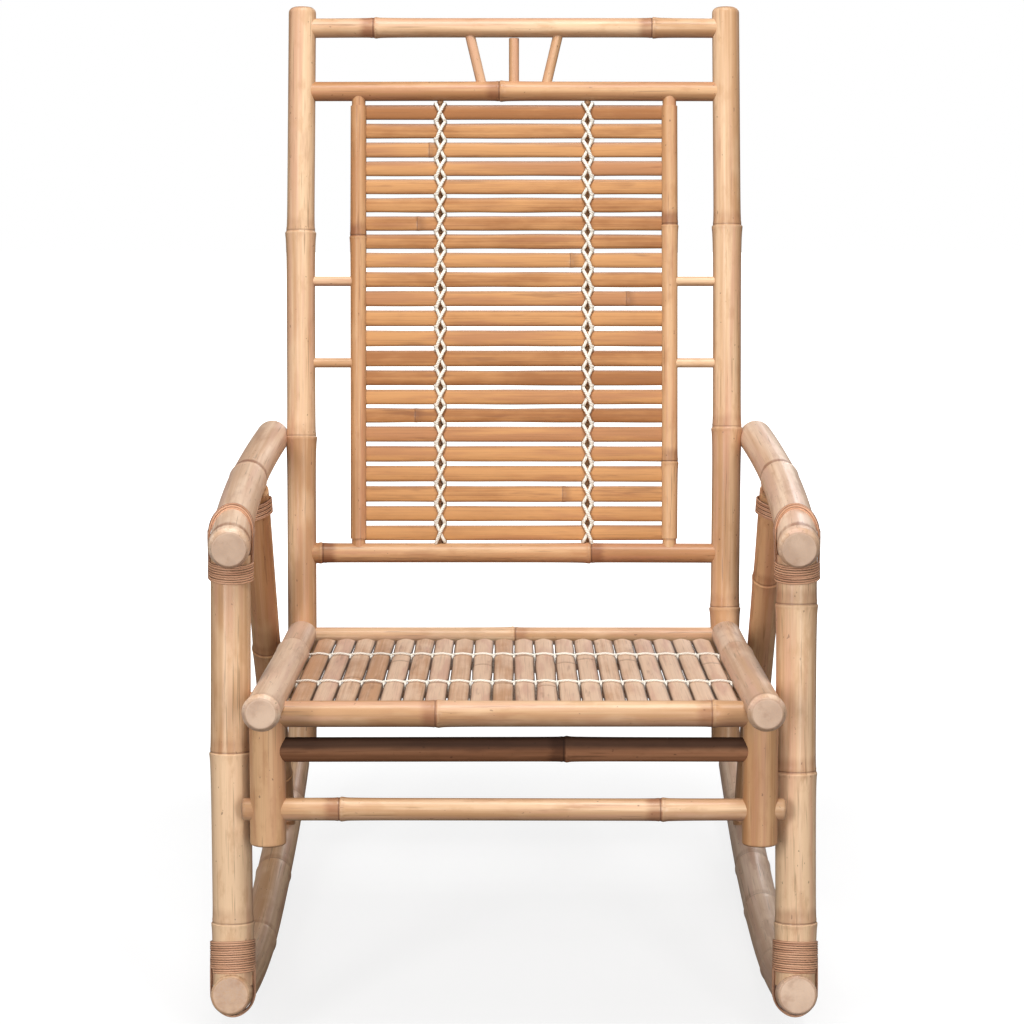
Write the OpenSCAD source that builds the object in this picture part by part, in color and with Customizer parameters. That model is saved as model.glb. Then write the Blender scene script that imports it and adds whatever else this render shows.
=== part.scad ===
// Bamboo rocking chair, life size, in millimetres.
// The seat faces -Y and +Z is up. Left is the viewer's left, at -X.
// The origin lies on the floor, under the middle of the whole chair.
// Culms are solid, because every cut end of the real chair is closed by a node.

/* [Overall] */
// Depth from the front of the side rails to the rear tips of the rockers
chair_depth = 904; // [860:2:960]
// Distance of each side rail and back post from the middle
rail_x = 244; // [225:1:265]
// Gap left between pieces that seat on each other
fit = 0.3; // [0.2:0.05:0.5]

/* [Rockers] */
// Radius of the rocker culms
rocker_r = 20.2; // [18:0.1:23]
// Radius of the rockers' arc in front of their lowest point
rocker_front_bend = 1452; // [1250:2:1700]
// Radius of the rockers' arc behind their lowest point
rocker_rear_bend = 2260; // [1900:5:2700]
// Distance of the rockers' lowest point behind the side rails' front ends
rocker_low_setback = 401; // [380:1:430]
// Distance of the rockers' front ends behind the side rails' front ends
rocker_front_setback = 47; // [22:1:52]

/* [Legs] */
// Radius of the front legs
front_leg_r = 20.4; // [18:0.1:23]
// Distance of the front legs' feet behind the side rails' front ends
front_foot_setback = 76; // [70:1:92]
// Backward lean of the front legs, degrees
front_leg_lean = 6.9; // [3:0.1:9]
// Radius of the rear legs
rear_leg_r = 16; // [14:0.1:18]
// Distance of the rear legs' feet behind the back posts
rear_foot_reach = 153; // [130:1:175]
// Forward rake of the rear legs, degrees
rear_leg_rake = 33.4; // [30:0.1:36]
// Radius of the short stub legs
stub_r = 17.8; // [16:0.1:19]
// Length of the stub legs below the side rails' axes
stub_drop = 138; // [125:1:160]

/* [Armrests] */
// Height of the armrests' axes over the front legs
arm_height = 512; // [490:1:540]
// Rise of the armrests toward the back, degrees
arm_slope = 3.7; // [2:0.1:5]
// Radius of the armrests' short front lengths
arm_front_r = 22.2; // [20.5:0.1:24]
// Radius of the armrests' long middle lengths
arm_middle_r = 21.6; // [19.5:0.1:22.5]
// Radius of the armrests' rear lengths
arm_rear_r = 19.3; // [17:0.1:20]
// Outward bow of the armrests
arm_bow = 6; // [3:0.5:12]
// Length of the armrests in front of the front legs
arm_overhang = 46; // [40:1:60]
// Length of the armrests behind the back posts' axes
arm_tail = 18; // [16:1:30]

/* [Seat] */
// Height of the side rails' axes at their front ends
seat_height = 364; // [350:1:380]
// Fall of the seat toward the back, degrees
seat_angle = 4.4; // [3:0.1:6]
// Depth from the front of the side rails to the back posts' axes
seat_depth = 556; // [545:1:575]
// Radius of the side rails at the front
side_rail_r = 17.9; // [17:0.1:19]
// Radius of the side rails at the back
side_rail_rear_r = 16.6; // [15:0.1:18]
// Distance of the stub legs and front rails behind the side rails' front ends
front_setback = 77; // [72:1:84]
// Radius of the seat front rail
front_rail_r = 13.2; // [12.5:0.1:14]
// How far the seat front rail's axis lies below the side rails'
front_rail_drop = 12.8; // [11:0.1:13.5]
// Radius of the lower front rail
lower_rail_r = 12.2; // [11:0.1:13]
// How far the lower front rail's axis lies below the side rails'
lower_rail_drop = 48.5; // [46:0.1:52]
// Radius of the stretcher
stretcher_r = 11.2; // [10:0.1:12]
// How far the stretcher's axis lies below the side rails'
stretcher_drop = 108.5; // [95:0.5:115]
// Radius of the seat rear rail
rear_rail_r = 10; // [9:0.1:11]
// How far the rear rail's axis lies below the side rails'
rear_rail_drop = 3; // [0:0.5:5]
// Number of seat slats
seat_slat_count = 20; // [16:1:20]
// Width of a seat slat
seat_slat_w = 19.3; // [18.5:0.1:19.6]
// Gap between two seat slats
seat_slat_gap = 3.2; // [3:0.1:3.4]
// Thickness of all slats at the crown
slat_t = 4.8; // [4.4:0.1:5.2]
// Depth of the slats' tops below the side rails' axes
slat_sink = 2.5; // [2:0.1:3.5]
// Distance of the slats' rear ends in front of the posts' axes
slat_rear_gap = 25; // [22:1:40]
// Radius of the two round bars under the seat slats
seat_bar_r = 6; // [5.5:0.1:6.5]
// Distance of the front bar behind the side rails' front ends
front_bar_y = 215; // [195:1:240]
// Distance of the rear bar behind the side rails' front ends
rear_bar_y = 406; // [370:1:430]

/* [Back] */
// Backward lean of the back, degrees
back_angle = 10; // [8:0.1:13]
// Radius of the back posts
post_r = 16.2; // [15:0.1:17]
// Length of the back posts below the side rails' axes
post_drop = 133; // [120:1:150]
// Radius of the three cross rails of the back
back_rail_r = 11.1; // [10.5:0.1:11.5]
// Height of the low rail along the posts, above the side rails' axes
low_rail_h = 92.5; // [85:0.5:100]
// Height of the second rail along the posts, above the side rails' axes
second_rail_h = 625; // [600:1:640]
// Rise of the top rail above the second rail, along the posts
top_rail_rise = 73; // [65:1:85]
// Length of the back posts above the top rail's axis
post_head = 23.8; // [20:0.2:32]
// Radius of the panel stiles
stile_r = 9.2; // [8.8:0.1:10]
// Distance of the panel stiles from the middle
stile_x = 179; // [170:1:190]
// Height of the lower pegs between post and stile, along the posts
low_peg_h = 312; // [260:1:340]
// Height of the upper pegs between post and stile, along the posts
high_peg_h = 406; // [380:1:480]
// Radius of the pegs
peg_r = 4.6; // [4:0.1:5]
// Radius of the fan sticks
fan_r = 5.4; // [5:0.1:6]
// Distance of the outer fan sticks from the middle, at the top
fan_top_x = 51; // [45:1:60]
// Distance of the outer fan sticks from the middle, at the bottom
fan_foot_x = 37; // [30:1:42]
// Number of back slats
back_slat_count = 23; // [20:1:23]
// Width of a back slat
back_slat_w = 16.5; // [16:0.1:16.7]
// Clear height between the lower rail's axis and the first slat
panel_foot_gap = 21; // [18:0.5:24]
// Clear height between the last slat and the second rail's axis
panel_head_gap = 14.4; // [14.2:0.1:15]
// Distance of the lacings and the upright sticks from the middle
lacing_x = 85; // [60:1:120]
// Radius of the upright sticks behind the slats
upright_r = 4.5; // [4:0.1:4.8]

/* [Cord and cane] */
// Radius of the lacing cord
cord_r = 1.1; // [0.9:0.05:1.15]
// Half width of each crossing on a back slat
cross_half_w = 6; // [5.9:0.1:7]
// Radius of the cane that lashes the legs
cane_r = 1.7; // [1.5:0.05:1.8]
// Distance between turns of cane
cane_pitch = 4.6; // [4.3:0.1:5]
// Turns of cane on a front foot, besides the two round the rocker
foot_turns = 4.5; // [2.5:1:5.5]
// Turns of cane at the head of a front leg, besides the two round the armrest
arm_turns = 1.5; // [1.5:1:2.5]
// Turns of cane at the foot of a rear leg
rear_foot_turns = 3; // [2:1:4]
// Turns of cane at the head of a rear leg
rear_arm_turns = 4; // [2:1:5]

/* [Hidden] */

// How finely round surfaces are drawn
$fn = 48;
ARC_FN = 360;
CANE_STEPS = 20;
ARC_STEP = 22.5;

// Colours of the pieces
CULM = "#deb48c";
OLD_CULM = "#cf9f74";
SLAT = "#cd9155";
SEAT_SLAT = "#cda587";
CANE = "#a5644b";
CORD = "#f0e6d2";

// How far a node ring stands proud of its culm, and its length
NODE_RISE = 0.8;
NODE_LENGTH = 5;
// Rounding of cut ends
EDGE = 5;
TOP_EDGE = 9;
CAP_STEP = 0.2;
// How far the collar that joins a rocker's two arcs stands proud of them
COLLAR_RISE = 0.2;
CAP_ROOT = 2;
RAIL_EDGE = 2;
// How far a saddle's lips reach past the beam's axis, and how deep tenons go
SADDLE = 11;
RAIL_SADDLE = 8;
LEG_TENON_R = 7;
LEG_TENON_STOP = 2;
LEG_TENON_ROOT = 32;
TENON_R = 5;
TENON = 8;
PIN_R = 3.5;
PIN_REACH = 8;
REAR_PIN_DROP = 30;
// How near the axis of a side rail or stub leg each tenon ends, and its height there
FRONT_TENON_X = 9.5;
FRONT_TENON_Z = -5.5;
LOWER_TENON_X = 9;
STUB_TENON_Z = -12.3;
BAR_TENON_R = 4;
BAR_TENON_X = 6;
BAR_TENON_Z = -12;
// How far a stile's lips stay clear of the rails' axes
STILE_LIPS = 4;
PEG_REACH = 7;
UPRIGHT_SEAT = 4.5;
// Places of the nodes on each culm, as shares of its length from its foot, front or left
// end: for pieces that come in pairs, first the left one's and then the right one's
FRONT_LEG_NODES = [[0.142, 0.532], [0.142, 0.488, 0.876]];
REAR_LEG_NODES = [[0.171, 0.555], [0.267, 0.71]];
POST_NODES = [[0.082, 0.447, 0.697], [0.073, 0.19, 0.449, 0.705]];
STILE_NODES = [[0.044, 0.688], [0.206, 0.713]];
SIDE_RAIL_NODES = [[0.0164, 0.728], [0.0182, 0.677]];
ARM_NODES = [[0.0173, 0.731], [0.0192, 0.711]];
TOP_RAIL_NODES = [0.131, 0.827];
SECOND_RAIL_NODES = [0.462];
LOW_RAIL_NODES = [0.055, 0.712];
REAR_RAIL_NODES = [0.5];
FRONT_RAIL_NODES = [0.326, 0.923];
LOWER_RAIL_NODES = [0.609];
STRETCHER_NODES = [0.163, 0.767];
// The rockers' nodes, as shares of the way from the lowest point to either end
ROCKER_FRONT_NODES = [[0.15], [0.467]];
ROCKER_REAR_NODES = [[0.347, 0.777], [0.112, 0.387, 0.74]];
// Slats and lacing
SLATS_PER_NODE = 4;
SLAT_ROUND = 18;
GROOVE = 5;
SLAT_END_R = 11;
SEAT_ROUND = 24;
SLATS_FORWARD = 1.5;
CORD_SIDES = 4;
CANE_SIDES = 6;
CORD_GAP = 0.25;
CANE_GAP = 0.3;
// Places of the two loops over the rocker and the armrest, along them from the leg's
// axis, and how far back the armrest's loops lean at their tops
FOOT_LOOPS = [3, -3];
ARM_LOOPS = [14, 5];
ARM_LOOP_LEAN = 34;
// How far round the leg the last turn stops short of the second loop
LAST_TURN_GAP = 25;

// Skeleton: where the axes run
leg_x = rail_x + side_rail_r + front_leg_r + fit;
front_y = -chair_depth / 2;
rocker_low_y = front_y + rocker_low_setback;
rocker_low_z = rocker_r + COLLAR_RISE;
rocker_start = asin((rocker_front_setback + EDGE - rocker_low_setback) / rocker_front_bend);
rocker_end = asin((chair_depth - EDGE - rocker_low_setback) / (rocker_rear_bend + rocker_r - EDGE));
rail_start_y = (side_rail_r - EDGE) * sin(seat_angle) + front_y;
post_y0 = rail_start_y + seat_depth;
post_z0 = seat_height - seat_depth * tan(seat_angle);
rail_length = seat_depth / cos(seat_angle);
top_rail_h = second_rail_h + top_rail_rise;
post_length = post_drop + top_rail_h + post_head;
front_foot_y = front_y + front_foot_setback;
rear_foot_y = post_y0 + rear_foot_reach;

// Radius of the rockers' arc and height of their axes, at a place y
function rocker_bend(y) = y < rocker_low_y ? rocker_front_bend : rocker_rear_bend;
function rocker_z(y) =
    rocker_low_z + rocker_bend(y) - sqrt(rocker_bend(y) ^ 2 - (y - rocker_low_y) ^ 2);

// Where the leg axes meet the rocker axes and the armrest axes
front_foot = [leg_x, front_foot_y, rocker_z(front_foot_y)];
front_head = [
    leg_x,
    front_foot_y + (arm_height - front_foot[2]) * tan(front_leg_lean),
    arm_height
];
arm_rear_z = (arm_height + (post_y0 - post_z0 * tan(back_angle) - front_head[1]) * tan(arm_slope))
    / (1 - tan(back_angle) * tan(arm_slope));
arm_rear = [
    rail_x + post_r + arm_rear_r + fit,
    post_y0 + (arm_rear_z - post_z0) * tan(back_angle),
    arm_rear_z
];
arm_chord = norm(arm_rear - front_head);
arm_bend = ((arm_chord / 2) ^ 2 + arm_bow ^ 2) / (2 * arm_bow);
arm_along = (arm_rear - front_head) / arm_chord;
arm_out = unit([1, 0, 0] - arm_along[0] * arm_along);
arm_centre = (front_head + arm_rear) / 2 - (arm_bend - arm_bow) * arm_out;
arm_half = asin(arm_chord / 2 / arm_bend);
arm_front_along = cos(arm_half) * arm_along + sin(arm_half) * arm_out;
arm_start = -arm_half - to_degrees(arm_overhang - EDGE, arm_bend);
arm_end = arm_half + to_degrees(arm_tail - EDGE, arm_bend);
rear_foot = [leg_x, rear_foot_y, rocker_z(rear_foot_y)];
rear_head_z = (arm_height
    + (rear_foot_y + rear_foot[2] * tan(rear_leg_rake) - front_head[1]) * tan(arm_slope))
    / (1 + tan(rear_leg_rake) * tan(arm_slope));
rear_head = [
    leg_x,
    rear_foot_y - (rear_head_z - rear_foot[2]) * tan(rear_leg_rake),
    rear_head_z
];
// Where each front leg passes its side rail, and each rear leg its post
crossing_z = (seat_height + (rail_start_y - front_foot_y + front_foot[2] * tan(front_leg_lean))
    * tan(seat_angle)) / (1 + tan(front_leg_lean) * tan(seat_angle));
front_crossing = [
    0,
    front_foot_y + (crossing_z - front_foot[2]) * tan(front_leg_lean),
    crossing_z
];
rear_pin_z = post_z0 - REAR_PIN_DROP;
rear_pin = [
    0,
    (rear_foot_y - (rear_pin_z - rear_foot[2]) * tan(rear_leg_rake)
        + post_y0 + (rear_pin_z - post_z0) * tan(back_angle)) / 2,
    rear_pin_z
];

// Slat layout
back_slat_first = low_rail_h + panel_foot_gap + back_slat_w / 2;
back_slat_last = second_rail_h - panel_head_gap - back_slat_w / 2;
back_pitch = (back_slat_last - back_slat_first) / (back_slat_count - 1);
seat_pitch = seat_slat_w + seat_slat_gap;
slat_edge_t = slat_t - SLAT_ROUND + sqrt(SLAT_ROUND ^ 2 - (back_slat_w / 2) ^ 2);
slat_end_x = stile_x - stile_r + GROOVE - fit;
groove_floor_x = stile_x - stile_r + GROOVE;
panel_y = -SLATS_FORWARD;
slat_front_y = panel_y - slat_t / 2;
slat_back_y = panel_y + slat_t / 2;
upright_y = slat_back_y + fit + upright_r;
groove_bottom = back_slat_first - back_slat_w / 2 - 1;
groove_top = back_slat_last + back_slat_w / 2 + 1;
slat_mid_z = -slat_sink - slat_t / 2;
slat_front_end = front_setback + sqrt(front_rail_r ^ 2 - (front_rail_drop + slat_mid_z) ^ 2) - GROOVE;
seat_bar_z = -slat_sink - slat_t - fit - seat_bar_r;

function unit(v) = v / norm(v);
function to_degrees(length, radius) = length / radius * 180 / PI;
function last(list) = list[len(list) - 1];
function of_side(pair, side) = pair[side < 0 ? 0 : 1];

// Puts a piece made for the right side on either side
module on_side(side) {
    mirror([side < 0 ? 1 : 0, 0, 0]) children();
}

// Frame of the seat: y runs back along the side rails, z is square to them
module seat_frame() {
    translate([0, rail_start_y, seat_height]) rotate([-seat_angle, 0, 0]) children();
}

// Frame of the back: z runs up along the posts, from where the side rails meet them
module back_frame() {
    translate([0, post_y0, post_z0]) rotate([-back_angle, 0, 0]) children();
}

// Stands the z axis of a piece on a, pointing at b
module aim(a, b) {
    d = b - a;
    translate(a) rotate([0, acos(d[2] / norm(d)), atan2(d[1], d[0])]) children();
}

// A straight rod along x, from one x to another
module cross_rod(x0, x1, r) {
    translate([x0, 0, 0]) rotate([0, 90, 0]) cylinder(h = x1 - x0, r = r);
}

// Quarter round of an outline between a flat end and a side
function rounded(r, z, edge, up) = [
    for (i = [0:3]) [
        r - edge + edge * (up ? cos(i * 30) : sin(i * 30)),
        z + edge * (up ? sin(i * 30) : -cos(i * 30))
    ]
];

// Outline of a node ring at height z on a culm whose radius there is r
function ring(r, z) = [
    [r, z - NODE_LENGTH / 2],
    [r + NODE_RISE, z - NODE_LENGTH / 5],
    [r + NODE_RISE, z + NODE_LENGTH / 5],
    [r, z + NODE_LENGTH / 2]
];

// A straight culm along z: tapered, with rounded cut ends and node rings. nodes are
// the places of its rings, as shares of its length.
module culm(length, r0, r1, nodes = [], foot_edge = RAIL_EDGE, head_edge = RAIL_EDGE) {
    rotate_extrude() polygon(concat(
        [[0, 0]],
        rounded(r0, foot_edge, foot_edge, false),
        [for (s = nodes) each ring(r0 + (r1 - r0) * s, s * length)],
        rounded(r1, length - head_edge, head_edge, true),
        [[0, length]]
    ));
}

// A culm bent to an arc about z, with one radius for each internode.
// stops are the angles of its ends and nodes.
module bent_culm(bend, stops, radii) {
    for (i = [0:len(radii) - 1])
        rotate([0, 0, stops[i]]) rotate_extrude(angle = stops[i + 1] - stops[i], $fn = ARC_FN)
            translate([bend, 0]) circle(r = radii[i], $fn = 48);
    for (i = [1:1:len(radii) - 1])
        bent_ring(bend, stops[i], max(radii[i - 1], radii[i]) + NODE_RISE);
}

// A ring of radius r round a bent culm, centred at an angle of its arc
module bent_ring(bend, angle, r) {
    swell = to_degrees(NODE_LENGTH, bend);
    rotate([0, 0, angle - swell / 2]) rotate_extrude(angle = swell, $fn = ARC_FN)
        translate([bend, 0]) circle(r = r, $fn = 48);
}

// Rounded cut end of a bent culm, set a little into it and a hair thinner. turn is 90 at
// the culm's start and -90 at its end.
module bent_end(bend, angle, r, turn) {
    cap_r = r - CAP_STEP;
    rotate([0, 0, angle]) translate([bend, 0, 0]) rotate([turn, 0, 0]) rotate_extrude() polygon(concat(
        [[0, -CAP_ROOT], [cap_r, -CAP_ROOT]],
        rounded(cap_r, 0, EDGE, true),
        [[0, EDGE]]
    ));
}

// Frame of an arc of the right rocker, with angle 0 at its lowest point
module rocker_frame(bend) {
    translate([leg_x, rocker_low_y, rocker_low_z + bend]) rotate([0, 90, 0]) children();
}

// Frame of the right armrest's arc, with angle 0 in the middle
module arm_frame() {
    up = cross(arm_out, arm_along);
    multmatrix([
        [arm_out[0], arm_along[0], up[0], arm_centre[0]],
        [arm_out[1], arm_along[1], up[1], arm_centre[1]],
        [arm_out[2], arm_along[2], up[2], arm_centre[2]],
        [0, 0, 0, 1]
    ]) children();
}

// What a saddle on the right rocker clears
module rocker_clearance() {
    rocker_frame(rocker_front_bend) rotate([0, 0, rocker_start])
        rotate_extrude(angle = -rocker_start, $fn = ARC_FN)
            translate([rocker_front_bend, 0]) circle(r = rocker_r + fit, $fn = 48);
    rocker_frame(rocker_rear_bend) rotate_extrude(angle = rocker_end, $fn = ARC_FN)
        translate([rocker_rear_bend, 0]) circle(r = rocker_r + fit, $fn = 48);
}

// Angles of the ends and nodes of an armrest
function arm_stops(side) = concat(
    [arm_start],
    [for (s = of_side(ARM_NODES, side)) arm_start + s * (arm_end - arm_start)],
    [arm_end]
);

// What a saddle under the right armrest clears
module arm_clearance(stops) {
    radii = [arm_front_r, arm_middle_r, arm_rear_r];
    arm_frame() for (i = [0:2])
        rotate([0, 0, stops[i]]) rotate_extrude(angle = stops[i + 1] - stops[i], $fn = ARC_FN)
            translate([arm_bend, 0]) circle(r = radii[i] + fit, $fn = 48);
}

// Socket for the tenon of a leg that runs from a to b, at its end b
module leg_socket(a, b) {
    length = norm(b - a);
    aim(a, b) translate([0, 0, length - LEG_TENON_ROOT])
        cylinder(h = LEG_TENON_ROOT - LEG_TENON_STOP + fit, r = LEG_TENON_R + fit);
}

module rocker(side) {
    front_nodes = [for (s = of_side(ROCKER_FRONT_NODES, side)) s * rocker_start];
    rear_nodes = [for (s = of_side(ROCKER_REAR_NODES, side)) s * rocker_end];
    color(CULM) on_side(side) difference() {
        union() {
            rocker_frame(rocker_front_bend) {
                bent_culm(
                    rocker_front_bend,
                    concat([rocker_start], front_nodes, [0]),
                    [for (i = [0:len(front_nodes)]) rocker_r]
                );
                bent_end(rocker_front_bend, rocker_start, rocker_r, 90);
                bent_ring(rocker_front_bend, 0, rocker_r + COLLAR_RISE);
            }
            rocker_frame(rocker_rear_bend) {
                bent_culm(
                    rocker_rear_bend,
                    concat([0], rear_nodes, [rocker_end]),
                    [for (i = [0:len(rear_nodes)]) rocker_r]
                );
                bent_end(rocker_rear_bend, rocker_end, rocker_r, -90);
            }
        }
        leg_socket(front_head, front_foot);
        leg_socket(rear_head, rear_foot);
    }
}

// A leg from the rocker's axis to the armrest's axis, saddled and tenoned at both ends.
// pin is where a hidden pin crosses it.
module leg(side, foot, head, r, nodes, pin) {
    length = norm(head - foot);
    on_side(side) {
        difference() {
            aim(foot, head) translate([0, 0, SADDLE])
                culm(length - 2 * SADDLE, r, r, nodes, 1, 1);
            rocker_clearance();
            arm_clearance(arm_stops(side));
            translate(pin) cross_rod(rail_x, leg_x + PIN_REACH + fit, PIN_R + fit);
        }
        for (ends = [[foot, head], [head, foot]]) aim(ends[0], ends[1]) translate([0, 0, LEG_TENON_STOP])
            cylinder(h = LEG_TENON_ROOT - LEG_TENON_STOP, r = LEG_TENON_R);
    }
}

module front_leg(side) {
    color(CULM) leg(
        side, front_foot, front_head, front_leg_r,
        of_side(FRONT_LEG_NODES, side), front_crossing
    );
}

module rear_leg(side) {
    color(OLD_CULM) leg(
        side, rear_foot, rear_head, rear_leg_r,
        of_side(REAR_LEG_NODES, side), rear_pin
    );
}

module armrest(side) {
    color(CULM) on_side(side) difference() {
        arm_frame() {
            bent_culm(arm_bend, arm_stops(side), [arm_front_r, arm_middle_r, arm_rear_r]);
            bent_end(arm_bend, arm_start, arm_front_r, 90);
            bent_end(arm_bend, arm_end, arm_rear_r, -90);
        }
        leg_socket(front_foot, front_head);
        leg_socket(rear_foot, rear_head);
        translate([0, arm_rear[1], arm_rear[2]])
            cross_rod(rail_x, arm_rear[0] + PIN_REACH + fit, PIN_R + fit);
    }
}

// Rails that are let into the posts, as [height, radius]
POST_RAILS = [
    [-rear_rail_drop, rear_rail_r],
    [low_rail_h, back_rail_r],
    [second_rail_h, back_rail_r],
    [top_rail_h, back_rail_r]
];
post_tenon_x = rail_x - post_r + TENON;

module back_post(side) {
    color(CULM) on_side(side) difference() {
        back_frame() translate([rail_x, 0, -post_drop]) culm(
            post_length, post_r, post_r, of_side(POST_NODES, side), RAIL_EDGE, TOP_EDGE
        );
        back_frame() for (rail = POST_RAILS)
            translate([0, 0, rail[0]]) cross_rod(rail_x - 2 * post_r, post_tenon_x + fit, rail[1] + fit);
        back_frame() for (h = [low_peg_h, high_peg_h])
            translate([0, panel_y, h]) cross_rod(rail_x - 2 * post_r, post_tenon_x + fit, peg_r + fit);
        seat_frame() translate([rail_x, rail_length - 2 * post_r, 0]) rotate([-90, 0, 0])
            cylinder(h = post_r + TENON + fit, r = TENON_R + fit);
        translate(rear_pin) cross_rod(rail_x - PIN_REACH - fit, leg_x, PIN_R + fit);
        translate([0, arm_rear[1], arm_rear[2]])
            cross_rod(rail_x - PIN_REACH - fit, arm_rear[0], PIN_R + fit);
    }
}

// A rail between the posts, in the frame of the back
module post_rail(h, r, nodes) {
    back_frame() translate([-post_tenon_x, 0, h]) rotate([0, 90, 0])
        culm(2 * post_tenon_x, r, r, nodes, 1, 1);
}

module seat_rear_rail() {
    color(CULM) post_rail(-rear_rail_drop, rear_rail_r, REAR_RAIL_NODES);
}

module top_rail() {
    color(CULM) difference() {
        post_rail(top_rail_h, back_rail_r, TOP_RAIL_NODES);
        fan_holes();
    }
}

module second_rail() {
    color(CULM) difference() {
        post_rail(second_rail_h, back_rail_r, SECOND_RAIL_NODES);
        fan_holes();
        panel_head_holes();
    }
}

module low_back_rail() {
    color(OLD_CULM) difference() {
        post_rail(low_rail_h, back_rail_r, LOW_RAIL_NODES);
        back_frame() for (side = [-1, 1]) {
            translate([side * stile_x, panel_y, low_rail_h - fit])
                cylinder(h = 2 * back_rail_r, r = TENON_R + fit);
            translate([side * lacing_x, upright_y, low_rail_h + UPRIGHT_SEAT])
                cylinder(h = 2 * back_rail_r, r = upright_r + fit);
        }
    }
}

// Holes in the second rail's underside for the stiles and the upright sticks
module panel_head_holes() {
    back_frame() for (side = [-1, 1]) {
        translate([side * stile_x, panel_y, second_rail_h - 2 * back_rail_r])
            cylinder(h = 2 * back_rail_r + fit, r = TENON_R + fit);
        translate([side * lacing_x, upright_y, second_rail_h - 2 * back_rail_r])
            cylinder(h = 2 * back_rail_r - UPRIGHT_SEAT, r = upright_r + fit);
    }
}

// Ends of a fan stick: -1 left, 0 middle, 1 right
function fan_ends(side) = [
    [side * fan_foot_x, 0, second_rail_h + back_rail_r - TENON / 2],
    [side * fan_top_x, 0, top_rail_h - back_rail_r + TENON / 2]
];

module fan_holes() {
    back_frame() for (side = [-1, 0, 1]) {
        ends = fan_ends(side);
        aim(ends[0], ends[1]) translate([0, 0, -fit])
            cylinder(h = norm(ends[1] - ends[0]) + 2 * fit, r = fan_r + fit);
    }
}

module fan_stick(side) {
    ends = fan_ends(side);
    color(CULM) back_frame() aim(ends[0], ends[1])
        culm(norm(ends[1] - ends[0]), fan_r, fan_r, [], 0.5, 0.5);
}

// A stile stands with fish-mouthed ends on the lower and under the second rail
module stile(side) {
    foot_h = low_rail_h + STILE_LIPS;
    length = second_rail_h - STILE_LIPS - foot_h;
    color(OLD_CULM) on_side(side) back_frame() {
        difference() {
            translate([stile_x, panel_y, foot_h])
                culm(length, stile_r, stile_r, of_side(STILE_NODES, side), 1, 1);
            for (h = [low_rail_h, second_rail_h]) translate([0, 0, h])
                cross_rod(stile_x - 2 * stile_r, stile_x + 2 * stile_r, back_rail_r + fit);
            translate([0, panel_y - slat_t / 2 - fit, groove_bottom])
                cube([groove_floor_x, slat_t + 2 * fit, groove_top - groove_bottom]);
            for (h = [low_peg_h, high_peg_h]) translate([0, panel_y, h])
                cross_rod(peg_start_x - fit, stile_x + 2 * stile_r, peg_r + fit);
        }
        for (h = [low_rail_h, second_rail_h - 2 * back_rail_r])
            translate([stile_x, panel_y, h]) cylinder(h = 2 * back_rail_r, r = TENON_R);
    }
}

// The pegs run from a blind hole in the stile to one in the post
peg_start_x = stile_x + stile_r - PEG_REACH;

module peg(side, h) {
    color(CULM) on_side(side) back_frame() translate([peg_start_x, panel_y, h]) rotate([0, 90, 0])
        culm(post_tenon_x - peg_start_x, peg_r, peg_r, [], 0.5, 0.5);
}

// Cross-section of a split slat, lying flat with its round face up and its back on y = 0
module slat_outline(w, round_r) {
    intersection() {
        translate([-w / 2, 0]) square([w, slat_t]);
        translate([0, slat_t - round_r]) circle(r = round_r, $fn = 120);
    }
}

// One back slat, counted from the bottom
module back_slat(k) {
    back_frame() translate([-slat_end_x, slat_back_y, back_slat_first + k * back_pitch])
        rotate([0, 90, 0]) rotate([0, 0, 180])
            linear_extrude(2 * slat_end_x) slat_outline(back_slat_w, SLAT_ROUND);
}

module back_slats(group) {
    first = (group - 1) * SLATS_PER_NODE;
    color(SLAT) for (k = [first:1:min(first + SLATS_PER_NODE, back_slat_count) - 1]) back_slat(k);
}

module upright(side) {
    length = second_rail_h - low_rail_h - 2 * UPRIGHT_SEAT - 2 * fit;
    color(OLD_CULM) on_side(side) back_frame()
        translate([lacing_x, upright_y, low_rail_h + UPRIGHT_SEAT + fit])
            culm(length, upright_r, upright_r, [], 0.5, 0.5);
}

// The side rails' solids, grown by a clearance, in the frame of the seat
module side_rail_solids(grow) {
    for (side = [-1, 1]) translate([side * rail_x, 0, 0]) rotate([-90, 0, 0])
        cylinder(h = rail_length, r1 = side_rail_r + grow, r2 = side_rail_rear_r + grow);
}

// The stub legs' solids below their saddles, grown by a clearance, in the frame of the seat
module stub_solids(grow) {
    for (side = [-1, 1]) translate([side * rail_x, front_setback, -stub_drop])
        cylinder(h = stub_drop - SADDLE + grow, r = stub_r + grow);
}

// Tenon of a rail that ends in both side rails or both stub legs
module twin_tenons(y, z, r, reach) {
    for (side = [-1, 1]) translate([0, y, z]) on_side(side)
        cross_rod(rail_x - 2 * stub_r, rail_x - reach, r);
}

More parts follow.
